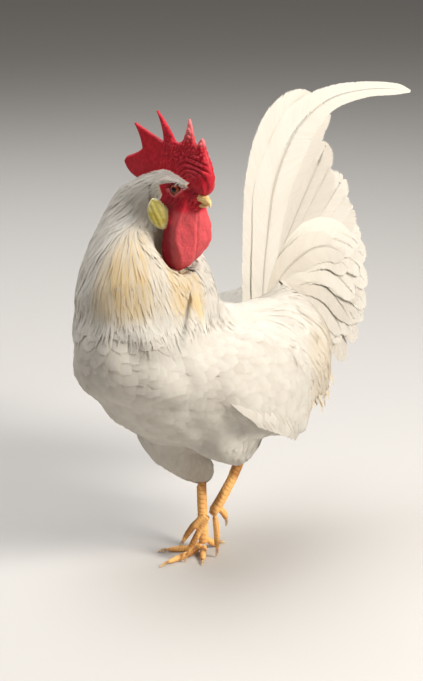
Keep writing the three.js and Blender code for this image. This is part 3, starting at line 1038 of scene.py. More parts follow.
def meshed(field, low, high, step):
    """A field's surface as points and triangles: one point in each cell of a grid that it passes."""
    counts = np.ceil((high - low) / step).astype(int)
    axes = [low[k] + step * np.arange(counts[k]) for k in range(3)]
    grid = np.stack(np.meshgrid(*axes, indexing="ij"), -1)
    value = np.stack([field(layer) for layer in grid])
    corners = [(i, j, k) for i in (0, 1) for j in (0, 1) for k in (0, 1)]
    shape = counts - 1
    window = lambda at: value[tuple(slice(low, low + size) for low, size in zip(at, shape))]
    inside = sum((window(at) < 0).astype(np.int8) for at in corners)
    cells = np.argwhere((inside > 0) & (inside < 8))
    total, number = np.zeros((len(cells), 3)), np.zeros((len(cells), 1))
    for a in corners:
        for b in corners:
            if sum(b) == sum(a) + 1 and all(y >= x for x, y in zip(a, b)):
                va, vb = value[tuple((cells + a).T)], value[tuple((cells + b).T)]
                cross = ((va < 0) != (vb < 0))[:, None]
                t = np.where(cross, (va / np.where(va == vb, 1, va - vb))[:, None], 0)
                total += np.where(cross, np.array(a) + t * (np.array(b) - a), 0)
                number += cross
    points = low + step * (cells + total / number)
    index = np.full(shape, -1)
    index[tuple(cells.T)] = np.arange(len(cells))
    faces = []
    for axis in range(3):
        one, two = np.eye(3, dtype=int)[[(axis + 1) % 3, (axis + 2) % 3]]
        ahead = np.eye(3, dtype=int)[axis]
        inner = value[1:-1, 1:-1, 1:-1] < 0
        moved = value[tuple(slice(1 + ahead[k], value.shape[k] - 1 + ahead[k]) for k in range(3))] < 0
        at = np.argwhere(inner != moved) + 1
        flip = value[tuple(at.T)] < 0
        quad = np.stack([index[tuple((at - c).T)] for c in (one + two, two, 0 * one, one)], 1)
        quad = np.where(flip[:, None], quad[:, ::-1], quad)
        faces.append(quad[(quad >= 0).all(1)])
    faces = np.concatenate(faces)[:, ::-1]
    return points, np.concatenate([faces[:, [0, 1, 2]], faces[:, [0, 2, 3]]])


def settled(points, field, reach):
    """Points moved onto a field's surface, where they are within reach of it."""
    small = 0.05
    for _ in range(2):
        value = field(points)
        slope = np.stack([field(points + small * np.eye(3)[k]) - value for k in range(3)], -1) / small
        move = slope * (value / np.maximum(np.sum(slope * slope, -1), 0.1))[:, None]
        share = smoothstep(reach, reach / 2, np.abs(value))[:, None]
        points = points - np.clip(move, -1.0, 1.0) * share
    return points


# Forward and up of the brow's lower edge.
BROW = ((-60, 0), (-7, 4), (7, 10.5), (24, 13.5), (34, 9.5), (41, 8))


def face_covered(local):
    """Where the small white feathers of the face stand: over the brow, on the ear and behind it."""
    f, z = local[:, 1], local[:, 2]
    brow = np.interp(f, *np.array(BROW).T)
    over_brow = (z > brow) & (f < 38) & ((z < 18) | (f < 22))
    ear = (f < 6 - 0.5 * np.abs(z + 3)) & (z > -9)
    behind = f < -9 + 0.25 * np.maximum(-z - 30, 0)
    clear = (comb_field(local) > 0.8) & (lobe_field(local) > 0.5)
    return (over_brow | ear | behind) & clear


# ---------------------------------------------------------------- the skin
HEAD_PARTS = ["head", "comb", *paired("wattle", "earlobe")]
FEET = paired("shank", *(f"toe_{number}" for number in TOES))
FLESHY = ["trunk", "neck", "tail_root", *paired("thigh", "wing")]
SKIN_VOXEL = 0.9
BODY_VOXEL = 2.5
LEGS_TOP = 125.0  # mm up, under which the skin is fine
COARSE_SHARE = 0.06  # of the points, kept where the skin is covered
LID_REACHES = (8, 3.5)  # mm outside the lids' opening, within which the skin's edges are halved
COAT_DEPTH = {"trunk": 9.0, "neck": 9.0, "tail_root": 7.0, "thigh": 6.0, "wing": 5.0}  # mm of plumage


def voxels(size):
    return "REMESH", {"mode": "VOXEL", "voxel_size": size}


def thinned(points, triangles, fine, ratio):
    """Fewer triangles where the mesh isn't fine."""
    settings = {"ratio": ratio, "vertex_group": "group", "vertex_group_factor": 10.0}
    return evaluated(points, triangles, ("DECIMATE", settings), group=~fine)


def edges_of(triangles):
    return np.concatenate([triangles[:, [0, 1]], triangles[:, [1, 2]], triangles[:, [2, 0]]])


def refined(points, triangles, chosen):
    """The mesh with every edge between two chosen points cut in two."""
    edges = np.sort(edges_of(triangles), axis=1)
    keys = edges[:, 0].astype(np.int64) * len(points) + edges[:, 1]
    keys, index = np.unique(keys, return_inverse=True)
    pairs = np.stack([keys // len(points), keys % len(points)], 1)
    cut = chosen[pairs].all(1)
    number = np.full(len(keys), -1)
    number[cut] = len(points) + np.arange(cut.sum())
    halfway = number[index].reshape(3, -1).T
    count = (halfway >= 0).sum(1)
    a, b, c = triangles[count == 3].T
    d, e, f = halfway[count == 3].T
    quarters = ((a, d, f), (d, b, e), (f, e, c), (d, e, f))
    made = [triangles[count == 0]] + [np.stack(quarter, 1) for quarter in quarters]
    for k in range(3):
        here = (count == 1) & (halfway[:, k] >= 0)
        a, b, c = (triangles[here, (k + n) % 3] for n in range(3))
        d = halfway[here, k]
        made += [np.stack([a, d, c], 1), np.stack([d, b, c], 1)]
    return np.concatenate([points, points[pairs[cut]].mean(1)]), np.concatenate(made)


def neighbours(triangles):
    """Both ends of every edge, each way round."""
    edges = edges_of(triangles)
    return np.concatenate([edges, edges[:, ::-1]])


def smoothed(values, pairs, rounds, weight=None):
    """Values by point, each moved towards the mean of its neighbours."""
    values = np.array(values, float)
    flat = values.reshape(len(values), -1)
    weight = np.ones(len(values)) if weight is None else weight
    number = np.maximum(np.bincount(pairs[:, 0], minlength=len(values)), 1)
    for _ in range(rounds):
        for column in flat.T:
            mean = np.bincount(pairs[:, 0], column[pairs[:, 1]], len(values)) / number
            column += 0.6 * weight * (mean - column)
    return flat.reshape(values.shape)


RED = (0.46, 0.010, 0.022)
RED_DEEP = (0.36, 0.006, 0.018)
RED_LIGHT = (0.58, 0.03, 0.045)
# the red that shade is painted in on the head
RED_PAINTED_SHADE = (0.17, 0.004, 0.014)
# pale pink: the skin's own paler places, and painted light on the wattles' front faces
RED_PALE = (0.72, 0.20, 0.20)
LOBE_DEEP = (0.46, 0.36, 0.06)
LOBE_YELLOW = (0.60, 0.52, 0.16)
LOBE_LIGHT = (0.68, 0.58, 0.22)
LOBE_RIM = (0.80, 0.76, 0.60)
PALE_SKIN = (0.72, 0.60, 0.46)
LEG_ORANGE = (0.92, 0.50, 0.17)
LEG_BROWN = (0.34, 0.13, 0.03)
SKIN_GLOSS = {
    "Roughness": 0.48, "Specular IOR Level": 0.26,
    "Subsurface Weight": 0.12, "Subsurface Radius": (1.0, 0.25, 0.18), "Subsurface Scale": 0.003,
}


def skin_material():
    """Bare skin: red on the head, yellow on the lobes, orange on the legs, and pale elsewhere; on the head
    its dark mark is painted shade.
    """
    material, nodes, links, shader = new_material("skin")
    marks = ("red", "lobe", "leg", "pale", "dark")
    read = {name: attribute_node(nodes, name).outputs["Fac"] for name in marks}
    place = nodes.new("ShaderNodeTexCoord").outputs["Object"]
    blotch = noise_node(nodes, links, place, 160.0, 4.0)
    grain = noise_node(nodes, links, place, 900.0, 3.0)
    flesh = ramp_node(nodes, links, blotch, (0.3, RED_DEEP), (0.52, RED), (0.75, RED_LIGHT))
    # Painted shade: the head's dark mark darkens the red in the cheek, the eye socket, the nostril and the
    # right wattle's outer face.
    flesh = mix_node(nodes, links, read["dark"], flesh, RED_PAINTED_SHADE)
    # The pale mark is the skin's own paleness, and painted light on the wattles' front faces.
    flesh = mix_node(nodes, links, read["pale"], flesh, RED_PALE)
    color = mix_node(nodes, links, read["red"], PALE_SKIN, flesh)
    lobe = ramp_node(nodes, links, blotch, (0.35, LOBE_DEEP), (0.6, LOBE_YELLOW), (0.8, LOBE_LIGHT))
    lobe = mix_node(nodes, links, read["pale"], lobe, LOBE_RIM)
    color = mix_node(nodes, links, read["lobe"], color, lobe)
    # On the legs the dark mark is the scutes' own dark seams and brown blotches.
    leg = mix_node(nodes, links, read["dark"], LEG_ORANGE, LEG_BROWN)
    color = mix_node(nodes, links, read["leg"], color, leg)
    links.new(color, shader.inputs["Base Color"])
    links.new(bump_node(nodes, links, grain, 0.35, 0.0005), shader.inputs["Normal"])
    set_values(shader, SKIN_GLOSS)
    return material


FAR = 99.0


def near_head(points, field):
    """A field of the head's frame at points of the bird, and far away where they aren't near the head."""
    local = to_head(points)
    near = (local > HEAD_LOW).all(1) & (local < HEAD_HIGH).all(1)
    values = np.full(len(points), FAR)
    values[near] = field(local[near])
    return values


def head_distance(points):
    return near_head(points, head_field)


def wattles_distance(points):
    return near_head(points, wattles_field)


THROAT_DEPTH = 11.0  # mm that the skin lies deeper behind the wattles
SKIN_PRESSED = (16.0, 13.0)  # mm that it is pressed in there besides, twice
SKIN_DROP = 1.0  # mm that it lies lower, besides
BACK_TOP = 284.0  # mm up, above which the back is flattened
BACK_SINK = 0.85  # of the height above that, taken away


def pressed(points, triangles, deep):
    """The plumage's surface with a hollow where the wattles lie on it."""
    dent = deep * smoothstep(9, -1, wattles_distance(points))
    return points - vertex_normals(points, triangles) * dent[:, None]


def sunk(points):
    """The points with the back flattened along its line, up to the tail."""
    x, y, z = points.T
    back = smoothstep(-75, -40, y) * smoothstep(120, 95, y) * smoothstep(30, -8, x)
    return points - UP * (BACK_SINK * back * np.maximum(z - BACK_TOP, 0))[:, None]


def body_skin():
    """The skin under the feathers: the feathered body's outer form, moved in by the coat's depth."""
    points, triangles = evaluated(*joined_arrays([body_node(name) for name in FLESHY]), voxels(BODY_VOXEL))
    found = Regions(FLESHY).at(points)
    depth_of = lambda name: next(depth for start, depth in COAT_DEPTH.items() if name.startswith(start))
    deep = np.array([depth_of(name) for name in FLESHY])[found]
    pairs = neighbours(triangles)
    deep = smoothed(deep, pairs, 6) + THROAT_DEPTH * smoothstep(26, 6, wattles_distance(points))
    points = points - vertex_normals(points, triangles) * deep[:, None]
    first, second = SKIN_PRESSED
    points = smoothed(pressed(sunk(points) - UP * SKIN_DROP, triangles, first), pairs, 4)
    return smoothed(pressed(points, triangles, second), pairs, 6), triangles


def skin():
    """Makes one skin of the feathered body, the bare head and the legs; returns the head's surface."""
    local, faces = meshed(head_field, HEAD_LOW, HEAD_HIGH, HEAD_STEP)
    parts = [node_arrays(name) for name in FEET] + [body_skin(), (from_head(local), faces)]
    points, triangles = evaluated(*joined_arrays(parts), voxels(SKIN_VOXEL))
    on_head = (np.abs(head_distance(points)) < 3) & (to_head(points)[:, 1] > -74)
    fine = on_head | (points[:, 2] < LEGS_TOP)
    share = (fine.sum() + COARSE_SHARE * (~fine).sum()) / len(points)
    points, triangles = thinned(points, triangles, fine, share)
    for reach in LID_REACHES:
        outside, far, _ = lid_places(to_head(points))
        points, triangles = refined(points, triangles, (outside < reach) & (far < 14))
    pairs = neighbours(triangles)
    bare = smoothstep(3.2, 2.2, np.abs(head_distance(points)))
    points = smoothed(points, pairs, 2)
    chosen = bare > 0.5
    points[chosen] = from_head(settled(to_head(points[chosen]), head_field, 4.0))
    leg = Regions(FEET + FLESHY).within(points, "shank", "toe") * (bare < 0.5)
    marks = skin_marks(points, bare)
    points, marks["dark"], marks["leg"] = scaled(points, triangles, leg, marks["dark"])
    add_piece(
        "skin", points, triangles, skin_material(), "red_skin",
        replaces=HEAD_PARTS + FEET + FLESHY + paired("saddle"), **marks,
    )
    of_head = head_distance(points[triangles].mean(1)) < 6
    return Surface(points, triangles[of_head])


SCUTE_STEP = {"shank": 5.2, "toe": 3.4}  # mm from one scute to the next
SCUTE_RISE = {"shank": 0.6, "toe": 0.5}  # mm


def scaled(points, triangles, leg, dark):
    """The legs' skin with scutes in front and small scales behind, and its marks for dark and leg."""
    chosen = np.nonzero(leg)[0]
    normals = vertex_normals(points, triangles)[chosen]
    places = points[chosen]
    found = Regions(FEET).at(places)
    rise, groove = np.zeros(len(chosen)), np.zeros(len(chosen))
    for number, name in enumerate(FEET):
        here = found == number
        if not here.any():
            continue
        own, _ = node_arrays(name)
        centre = own.mean(0)
        axis = np.linalg.svd(own - centre, full_matrices=False)[2][0]
        axis = axis * (1 if axis[2] > 0 else -1)
        front = unit(np.cross(np.cross(axis, (0, -1, 0.9 * ("toe" in name))), axis))
        kind = name.split("_")[0]
        facing = normals[here] @ front
        around = normals[here] @ np.cross(axis, front)
        bent = 1.6 * np.abs(around) + 0.5 * lumps(places[here], 9, 31)
        along = (places[here] - centre) @ axis + bent + 0.5 * SCUTE_STEP[kind] * (around > 0)
        phase = (along / SCUTE_STEP[kind]) % 1.0
        plate = smoothstep(0, 0.22, phase) * (1 - 0.75 * phase) * smoothstep(0, 0.12, np.abs(around))
        small = pimples(along * 1.05, around * 9.0, 2.3)
        on_front = smoothstep(0.05, 0.35, facing)
        rise[here] = SCUTE_RISE[kind] * mix(0.6 * small, plate, on_front)
        seam = smoothstep(0.16, 0.0, np.minimum(phase, 1 - phase))
        groove[here] = mix(0.5 * (1 - small), seam, on_front)
    points = points.copy()
    points[chosen] += normals * (rise - 0.3)[:, None]
    dark = dark.copy()
    blotch = 0.5 + 0.5 * lumps(places, 30, 17)
    dark[chosen] = np.clip(0.5 * groove + 0.7 * smoothstep(0.55, 0.95, blotch), 0, 1)
    return points, dark, smoothed(leg * 1.0, neighbours(triangles), 1)


def skin_marks(points, bare):
    """Where the skin is red or lobe, and how pale or dark it is; the head's dark marks are painted shade,
    and its pale mark on the wattles' fronts is painted light.
    """
    head = to_head(points)
    s, f, z = head.T
    lobe = smoothstep(1.2, 0.4, lobe_field(head)) * bare
    inside = lobe_places(head)[3]
    outside, _, up = lid_places(head)
    tips = bump(f - 30, 9) * smoothstep(52, 70, z) + bump(f - 53, 7) * smoothstep(50, 60, z)
    lower_lid = bump(outside - 1.6, 1.7) * (up < 1) * (np.abs(s) > 10)
    # Painted light: the wattles' front faces, turned to the key lamp, are made paler pink.
    lit_front_leaf = smoothstep(22, 30, f - 0.3 * s) * smoothstep(-14, -22, z) * smoothstep(-86, -70, z) * 0.3
    rim = bump(inside - 0.8, 1.0)
    # Painted shade: darker in the cheek between lobe and wattle, in the eye socket under the brow and in the
    # nostril's hollow.
    cheek_shade = bump(np.hypot(f - 14, (z + 16) * 0.8), 13) * smoothstep(4, 10, np.abs(s))
    socket = smoothstep(6.5, 2.5, outside) * smoothstep(-1.5, 2.0, up) * (np.abs(s) > 8)
    nostril_shade = bump(np.hypot(f - 42, z - 4), 5.5)
    pale = mix(np.maximum.reduce([tips * 0.8, lower_lid * 0.8, lit_front_leaf]), rim * 0.4, lobe)
    dark = np.maximum.reduce([0.75 * cheek_shade, 0.8 * socket, 0.7 * nostril_shade])
    dark = dark * (1 - lobe) * smoothstep(-30, -20, z)
    # Painted shade: the right wattle's outer face, turned away from the light, is made darker.
    outer = smoothstep(-9, -13, s) * smoothstep(30, 22, f) * smoothstep(-25, -38, z)
    dark = np.maximum(dark, 0.6 * outer * (1 - lobe))
    red = bare * (1 - lobe) * (1 - 0.9 * face_covered(head))
    return {"red": red, "lobe": lobe, "pale": pale * bare, "dark": dark * bare}


head_skin = skin()

# ---------------------------------------------------------------- eyes, beak and claws
EYE_LOOK = (0.96, 0.28, 0.04)  # the way that an eye looks: out, forward, up
EYE_TURNS = 64
EYE_RINGS = 40
CORNEA = (42.0, 0.9)  # degrees from the eye's axis that it reaches, and mm that it stands out
PUPIL = (0.004, 0.003, 0.003)
IRIS_DARK = (0.10, 0.018, 0.008)
IRIS_LIGHT = (0.30, 0.065, 0.020)
EYE_RIM = (0.045, 0.008, 0.006)
EYE_GLOSS = {"Roughness": 0.12, "Specular IOR Level": 0.2, "Coat Weight": 0.25, "Coat Roughness": 0.03}
BLACK = (0, 0, 0)
FULL = (1, 1, 1)


def eye_material():
    """A wet eye: black pupil, a red-brown iris with rays, and a dark rim."""
    material, nodes, links, shader = new_material("eye_iris")
    ring = attribute_node(nodes, "ring").outputs["Fac"]
    place = attribute_node(nodes, "ray").outputs["Vector"]
    rays = noise_node(nodes, links, place, 9.0, 3.0)
    iris = ramp_node(nodes, links, rays, (0.35, IRIS_DARK), (0.65, IRIS_LIGHT))
    inner = ramp_node(nodes, links, ring, (0.20, BLACK), (0.235, FULL))
    rim = ramp_node(nodes, links, ring, (0.40, BLACK), (0.47, FULL))
    color = mix_node(nodes, links, inner, PUPIL, iris)
    color = mix_node(nodes, links, rim, color, EYE_RIM)
    links.new(color, shader.inputs["Base Color"])
    set_values(shader, EYE_GLOSS)
    return material


def eye(name, side, material):
    """An eyeball with its cornea, in rings about the way that it looks."""
    look = unit(np.array(EYE_LOOK) * (side, 1, 1))
    across = unit(np.cross(look, (0, 0, 1)))
    over = np.cross(across, look)
    angle = np.linspace(0, math.pi, EYE_RINGS + 1)[1:-1]
    turn = np.arange(EYE_TURNS) * math.tau / EYE_TURNS
    reach, rise = CORNEA
    radius = EYE_RADIUS + rise * smoothstep(math.radians(reach), 0, angle)
    flat = np.cos(turn)[:, None] * across + np.sin(turn)[:, None] * over
    rings = look * np.cos(angle)[:, None, None] + flat * np.sin(angle)[:, None, None]
    ends = [look * (EYE_RADIUS + rise), -look * EYE_RADIUS]
    ball = np.concatenate([(rings * radius[:, None, None]).reshape(-1, 3), ends])
    local = np.array([side * EYE_SIDE, EYE_FORWARD, EYE_UP]) + ball
    faces = tube_faces(len(angle), EYE_TURNS)
    amount = np.concatenate([np.repeat(angle / math.pi, EYE_TURNS), [0, 1]]) * 2
    ray = np.concatenate([np.tile(flat, (len(angle), 1)), np.zeros((2, 3))]) + 0.3 * amount[:, None]
    add_piece(
        f"eyeball_{name}", from_head(local), faces, material, "eye", replaces=[f"eye_{name}"],
        ring=amount, ray=ray,
    )


def tube_faces(rings, around):
    """Triangles of rings of points, then a point at either end."""
    faces = []
    last = rings * around
    for k in range(around):
        n = (k + 1) % around
        faces += [(last, n, k), (last + 1, last - around + k, last - around + n)]
        for start in range(0, last - around, around):
            a, b, c, d = start + k, start + n, start + around + n, start + around + k
            faces += [(a, b, c), (a, c, d)]
    return np.array(faces)


HORN_DEEP = (0.58, 0.33, 0.10)
HORN = (0.80, 0.55, 0.22)
HORN_LIGHT = (0.90, 0.72, 0.42)
# brown of the horn's root, and of painted shade under the beak
HORN_ROOT_AND_SHADE = (0.40, 0.14, 0.03)
HORN_GLOSS = {"Roughness": 0.34, "Subsurface Weight": 0.08, "Subsurface Scale": 0.002}


def horn_material():
    """Yellow horn, browner towards the root and, as painted shade, along the beak's lower part, with fine
    streaks along it.
    """
    material, nodes, links, shader = new_material("horn")
    root = attribute_node(nodes, "root").outputs["Fac"]
    place = attribute_node(nodes, "along").outputs["Vector"]
    streak = noise_node(nodes, links, place, 1.0, 4.0)
    horn = ramp_node(nodes, links, streak, (0.3, HORN_DEEP), (0.5, HORN), (0.72, HORN_LIGHT))
    color = mix_node(nodes, links, root, horn, HORN_ROOT_AND_SHADE)
    links.new(color, shader.inputs["Base Color"])
    links.new(bump_node(nodes, links, streak, 0.3, 0.0004), shader.inputs["Normal"])
    set_values(shader, HORN_GLOSS)
    return material


# Cuts of the beak, from its root to its tip: forward, up, half width, and how high and deep it is there.
BEAK_UPPER = [
    (30, -1.5, 6.5, 3, 4), (37, -1.4, 7.2, 3.8, 4.6), (45, -0.8, 7.2, 5.2, 5.4), (52, -2.2, 5.3, 4.8, 5.4),
    (57, -4.8, 3.2, 3.5, 4.6), (59.2, -8, 1.6, 1.7, 2.5), (59.7, -10.5, 0.5, 0.5, 0.6),
]
BEAK_LOWER = [
    (28, -8.8, 5.5, 3.0, 3.0), (38, -9.0, 5.4, 3.0, 3.2), (46, -9.2, 4.8, 2.8, 3.2),
    (52, -9.4, 2.8, 1.8, 2.2), (55, -9.4, 1.2, 0.7, 0.9),
]
ACROSS = (1, 0, 0)
BEAK_AROUND = 40
BEAK_ALONG = 60


def beak(name, cuts, material):
    """One half of the beak: a ridged cut swept along its curve, with growth rings."""
    forward, up, half, high, low = curve(cuts, BEAK_ALONG).T
    path = np.stack([0 * forward, forward, up], 1)
    ahead = unit(np.gradient(path, axis=0))
    over = np.stack([0 * forward, -ahead[:, 2], ahead[:, 1]], 1)
    turn = np.arange(BEAK_AROUND) * math.tau / BEAK_AROUND
    side, rise = np.cos(turn), np.sin(turn)
    height = np.where(rise > 0, high[:, None], low[:, None]) * np.sign(rise) * np.abs(rise) ** 1.15
    width = half[:, None] * np.sign(side) * np.abs(side) ** 0.9
    growth = 1 + 0.012 * np.sin(np.linspace(0, 26, BEAK_ALONG))[:, None]
    rings = path[:, None] + over[:, None] * (height * growth)[..., None] + width[..., None] * ACROSS
    local = np.concatenate([rings.reshape(-1, 3), path[:1], path[-1:]])
    t = np.concatenate([np.repeat(np.linspace(0, 1, BEAK_ALONG), BEAK_AROUND), [0, 1]])
    # Painted shade: the beak's lower part is browner, back from the tip.
    below = smoothstep(-4, -11, local[:, 2]) * smoothstep(0.95, 0.6, t)
    root = np.clip(smoothstep(0.6, 0.15, t) * 0.7 + 0.45 * below, 0, 1)
    along = np.stack([local[:, 0] * 0.5, t * 2.2, local[:, 2] * 0.45], 1)
    faces = tube_faces(BEAK_ALONG, BEAK_AROUND)[:, ::-1]
    add_piece(
        f"{name}_horn", from_head(local), faces, material, "horn", replaces=[name], root=root, along=along
    )


def claw(node, material):
    """A claw's own CAD form, made round and smooth."""
    points, triangles = node_arrays(node)
    points, triangles = evaluated(points, triangles, ("SUBSURF", {"levels": 2}))
    foot = in_millimetres(middle(node.replace("claw", "toe")))
    away = np.linalg.norm(points - foot, axis=1)
    t = (away - away.min()) / np.ptp(away)
    along = np.stack([points[:, 0], t * 2.5, points[:, 2]], 1) * (0.5, 1, 0.5)
    root = 0.8 * smoothstep(0.7, 0, t)
    add_piece(f"{node}_horn", points, triangles, material, "horn", replaces=[node], root=root, along=along)


def hard_parts():
    """Makes the eyes, the beak and the claws."""
    wet = eye_material()
    for name, side in SIDES.items():
        eye(name, side, wet)
    horn = horn_material()
    beak("beak_upper", BEAK_UPPER, horn)
    beak("beak_lower", BEAK_LOWER, horn)
    for name in SIDES:
        for number in TOES:
            claw(f"claw_{number}_{name}", horn)


hard_parts()

# ---------------------------------------------------------------- the coat
SHELL_STEP = 3.0  # mm between the shell's points
SHELL_PRESSED = (12.0, 9.0)  # mm that the plumage is pressed in behind the wattles, twice
TUFT_RISE = 1.5  # mm that the plumage's surface goes up and down
TUFT_SIZE = 34.0  # mm from one tuft to the next
CROP_RISE = 11.0  # mm that the full crop bulges
GAP_REACH = 13.0  # mm that the plumage closes over the gaps between wing, saddle and rump


def gap_reach(points):
    """How far the plumage closes over gaps; nothing but at the wings' rear, the saddle and the rump."""
    return GAP_REACH * smoothstep(-40, 20, points[:, 1]) * smoothstep(130, 175, points[:, 2])


HOCK_FULL = 15.0  # mm that the plumage stands out behind the planted leg's hock
HOCK_WAY = np.array([0.743, 0.669, 0.0])  # to the rear and inwards


def full_at_hock(points):
    """The points with fuller plumage behind and inside the planted leg's hock."""
    low = in_millimetres(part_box("thigh_right")[0])[2]
    out = (points - in_millimetres(middle("shank_right"))) @ HOCK_WAY
    beside = smoothstep(45, 30, np.abs(out)) * smoothstep(6, -4, points[:, 0])
    height = points[:, 2] - low
    full = smoothstep(-16, -4, out) * beside * smoothstep(55, 25, height)
    full = full * mix(0.5, 1, smoothstep(0, 12, height))
    return points + HOCK_WAY * (HOCK_FULL * full)[:, None]


def filled(points, triangles, pairs):
    """The points with the hollows between the body's parts filled, as plumage does, less so low down."""
    fill = mix(0.25, 1.0, smoothstep(150, 235, points[:, 2]))
    for rounds in (60, 25):
        out = vertex_normals(points, triangles)
        rise = dots(smoothed(points, pairs, rounds) - points, out)
        points = points + out * np.maximum(rise, 0) * fill[:, None]
    x, y, z = points.T
    wing_top = smoothstep(205, 225, z) * smoothstep(45, 60, np.abs(x))
    wing_top = wing_top * smoothstep(-125, -100, y) * smoothstep(90, 60, y)
    return smoothed(points, pairs, 30, wing_top)


def full_at_crop(points, triangles):
    """The points with a full crop."""
    y, z = points[:, 1], points[:, 2]
    crop = smoothstep(212, 242, z) * smoothstep(316, 284, z) * smoothstep(-70, -120, y)
    return points + vertex_normals(points, triangles) * (CROP_RISE * crop)[:, None]


def outer_shell():
    """The outer surface of the feathered body."""
    local, faces = meshed(nape_field, NAPE_LOW, NAPE_HIGH, SHELL_STEP)
    parts = [body_node(name) for name in FEATHERED] + [(from_head(local), faces)]
    remesh = voxels(SHELL_STEP)
    points, triangles = evaluated(*joined_arrays(parts), remesh)
    points = points + vertex_normals(points, triangles) * gap_reach(points)[:, None]
    points, triangles = evaluated(points, triangles, remesh, ("SMOOTH", {"factor": 0.5, "iterations": 3}))
    points = points - vertex_normals(points, triangles) * gap_reach(points)[:, None]
    pairs = neighbours(triangles)
    points = filled(smoothed(points, pairs, 2), triangles, pairs)
    soft = TUFT_RISE * smoothstep(350, 320, points[:, 2]) * lumps(points, TUFT_SIZE, 3)
    points = points + vertex_normals(points, triangles) * soft[:, None]
    points = full_at_hock(sunk(full_at_crop(points, triangles)))
    first, second = SHELL_PRESSED
    points = smoothed(pressed(points, triangles, first), pairs, 4)
    return Surface(smoothed(pressed(points, triangles, second), pairs, 3), triangles)


shell = outer_shell()
shell_at = shell.points[shell.triangles].mean(1)
regions = Regions(FEATHERED + ["head"])
shell_part = regions.at(shell_at)


def part(*starts):
    """Which triangles of the shell belong to nodes whose names start so."""
    names = np.array([name.startswith(starts) for name in regions.names])
    return names[shell_part]


def even(value):
    """A measure that is the same everywhere."""
    return lambda points: np.full(len(points), float(value))


def body_plumage():
    """The broad feathers of the breast, back and flanks, smaller towards the vent."""
    keep = part("trunk") | (part("neck") & (shell_at[:, 2] < 335))
    vent = lambda p: smoothstep(55, 90, p[:, 1]) * smoothstep(225, 190, p[:, 2])
    size = lambda p: mix(30, 40, smoothstep(-150, 60, p[:, 1])) * (1 - 0.55 * vent(p))
    seeds = scattered(shell, keep, lambda p: mix(6.6, 4.6, vent(p)), 11)
    coat(
        "body_feathers", shell, seeds, trunk_flow, size, lambda p: size(p) * 0.3,
        unwrap_about(1, (0, 235), -190, 160), "white_plumage", 12, section="broad", fit=True,
        lift=(-2.2, 0.55), lift_spread=0.2,
    )


HACKLE_LENGTHS = ((335, 352, 400, 430, 458), (38, 54, 92, 52, 17))  # at these heights, these lengths
NECK_MAP = ((-10, -75), 250, 460)  # middle, low and high of the neck on the bake map


def hackle():
    """The long pointed feathers of the neck, in locks, down to a line over the breast and shoulders."""
    keep = part("neck") & (shell_at[:, 2] > 338)
    keep = keep | (part("head") & (to_head(shell_at)[:, 1] < -10))
    locks = lambda p: 1 + 0.16 * np.sin(p[:, 0] / 7 + 2) + 0.12 * np.sin(p[:, 0] / 2.9 - p[:, 1] / 5)
    ledge = lambda p: 1 - 0.3 * smoothstep(0, -22, p[:, 0]) * smoothstep(-115, -80, p[:, 1])
    length = lambda p: np.interp(p[:, 2], *HACKLE_LENGTHS) * locks(p) * ledge(p)
    seeds = scattered(shell, keep, lambda p: mix(3.2, 2.2, smoothstep(350, 440, p[:, 2])), 21)
    coat(
        "hackle", shell, seeds, neck_flow, length, lambda p: mix(3.9, 1.6, smoothstep(350, 445, p[:, 2])),
        unwrap_about(2, *NECK_MAP), "cream_plumage", 22, outline=pointed, stations=9, lift=(-1.5, 0.7),
        lift_spread=0.3, sway=0.09, clear=True, fit=True, gold=hackle_gold, uneven=(0.65, 1.25),
    )


def bib_down():
    """Short soft feathers on the hollow of the neck behind and below the wattles."""
    near = wattles_distance(shell_at) < 22
    keep = (part("neck") | part("head")) & near & (to_head(shell_at)[:, 2] < -22)
    coat(
        "bib_down", shell, scattered(shell, keep, even(2.3), 23), neck_flow, even(19), even(2.8),
        unwrap_about(2, *NECK_MAP), "cream_plumage", 24, outline=pointed, stations=6,
        lift=(-1.2, 0.5), lift_spread=0.3, sway=0.12, gold=hackle_gold,
    )


def face_flow(points, ups):
    """Back from the beak, and down behind the eye."""
    f = to_head(points)[:, 1]
    down = mix(-0.55, -0.15, smoothstep(-10, 20, f))
    return -HEAD_FORWARD + down[:, None] * UP


def face_feathers():
    """The smallest feathers, from the beak's root over the brow to the nape."""
    at = head_skin.points[head_skin.triangles].mean(1)
    keep = face_covered(to_head(at)) & (to_head(at)[:, 1] > -45)
    rise = lambda p: smoothstep(20, -35, to_head(p)[:, 1])
    length = lambda p: mix(5.0, 15.0, rise(p))
    seeds = scattered(head_skin, keep, lambda p: mix(1.15, 2.2, rise(p)), 25)
    coat(
        "face_feathers", head_skin, seeds, face_flow, length, lambda p: mix(0.75, 1.6, rise(p)),
        unwrap_about(1, (21, 444), -130, -20), "white_plumage", 26, outline=pointed, stations=5,
        lift=(-0.3, 0.75), lift_spread=0.2, sway=0.1, thick=0.2,
    )


def saddle_covered():
    """Where the saddle's feathers root: the rear of the back, and down behind the wings."""
    _, y, z = shell_at.T
    back = part("trunk") & (z > 262) & (y > 0)
    behind = part("wing") & (y > 68) & (z > 182)
    return part("saddle") | back | behind


def saddle_plumage():
    """The pointed feathers that hang from the rear of the back, longest at its top."""
    seeds = scattered(shell, saddle_covered(), even(3.9), 31)
    length = lambda p: mix(22, 80, smoothstep(178, 275, p[:, 2]))
    coat(
        "saddle_hackle", shell, seeds, saddle_flow, length, even(3.8), unwrap_about(1, (0, 235), -20, 160),
        "cream_plumage", 32, outline=pointed, stations=10, lift=(-1.5, 1.0), lift_spread=0.3, sway=0.08,
        fit=True, gold=saddle_gold, uneven=(0.75, 1.15),
    )


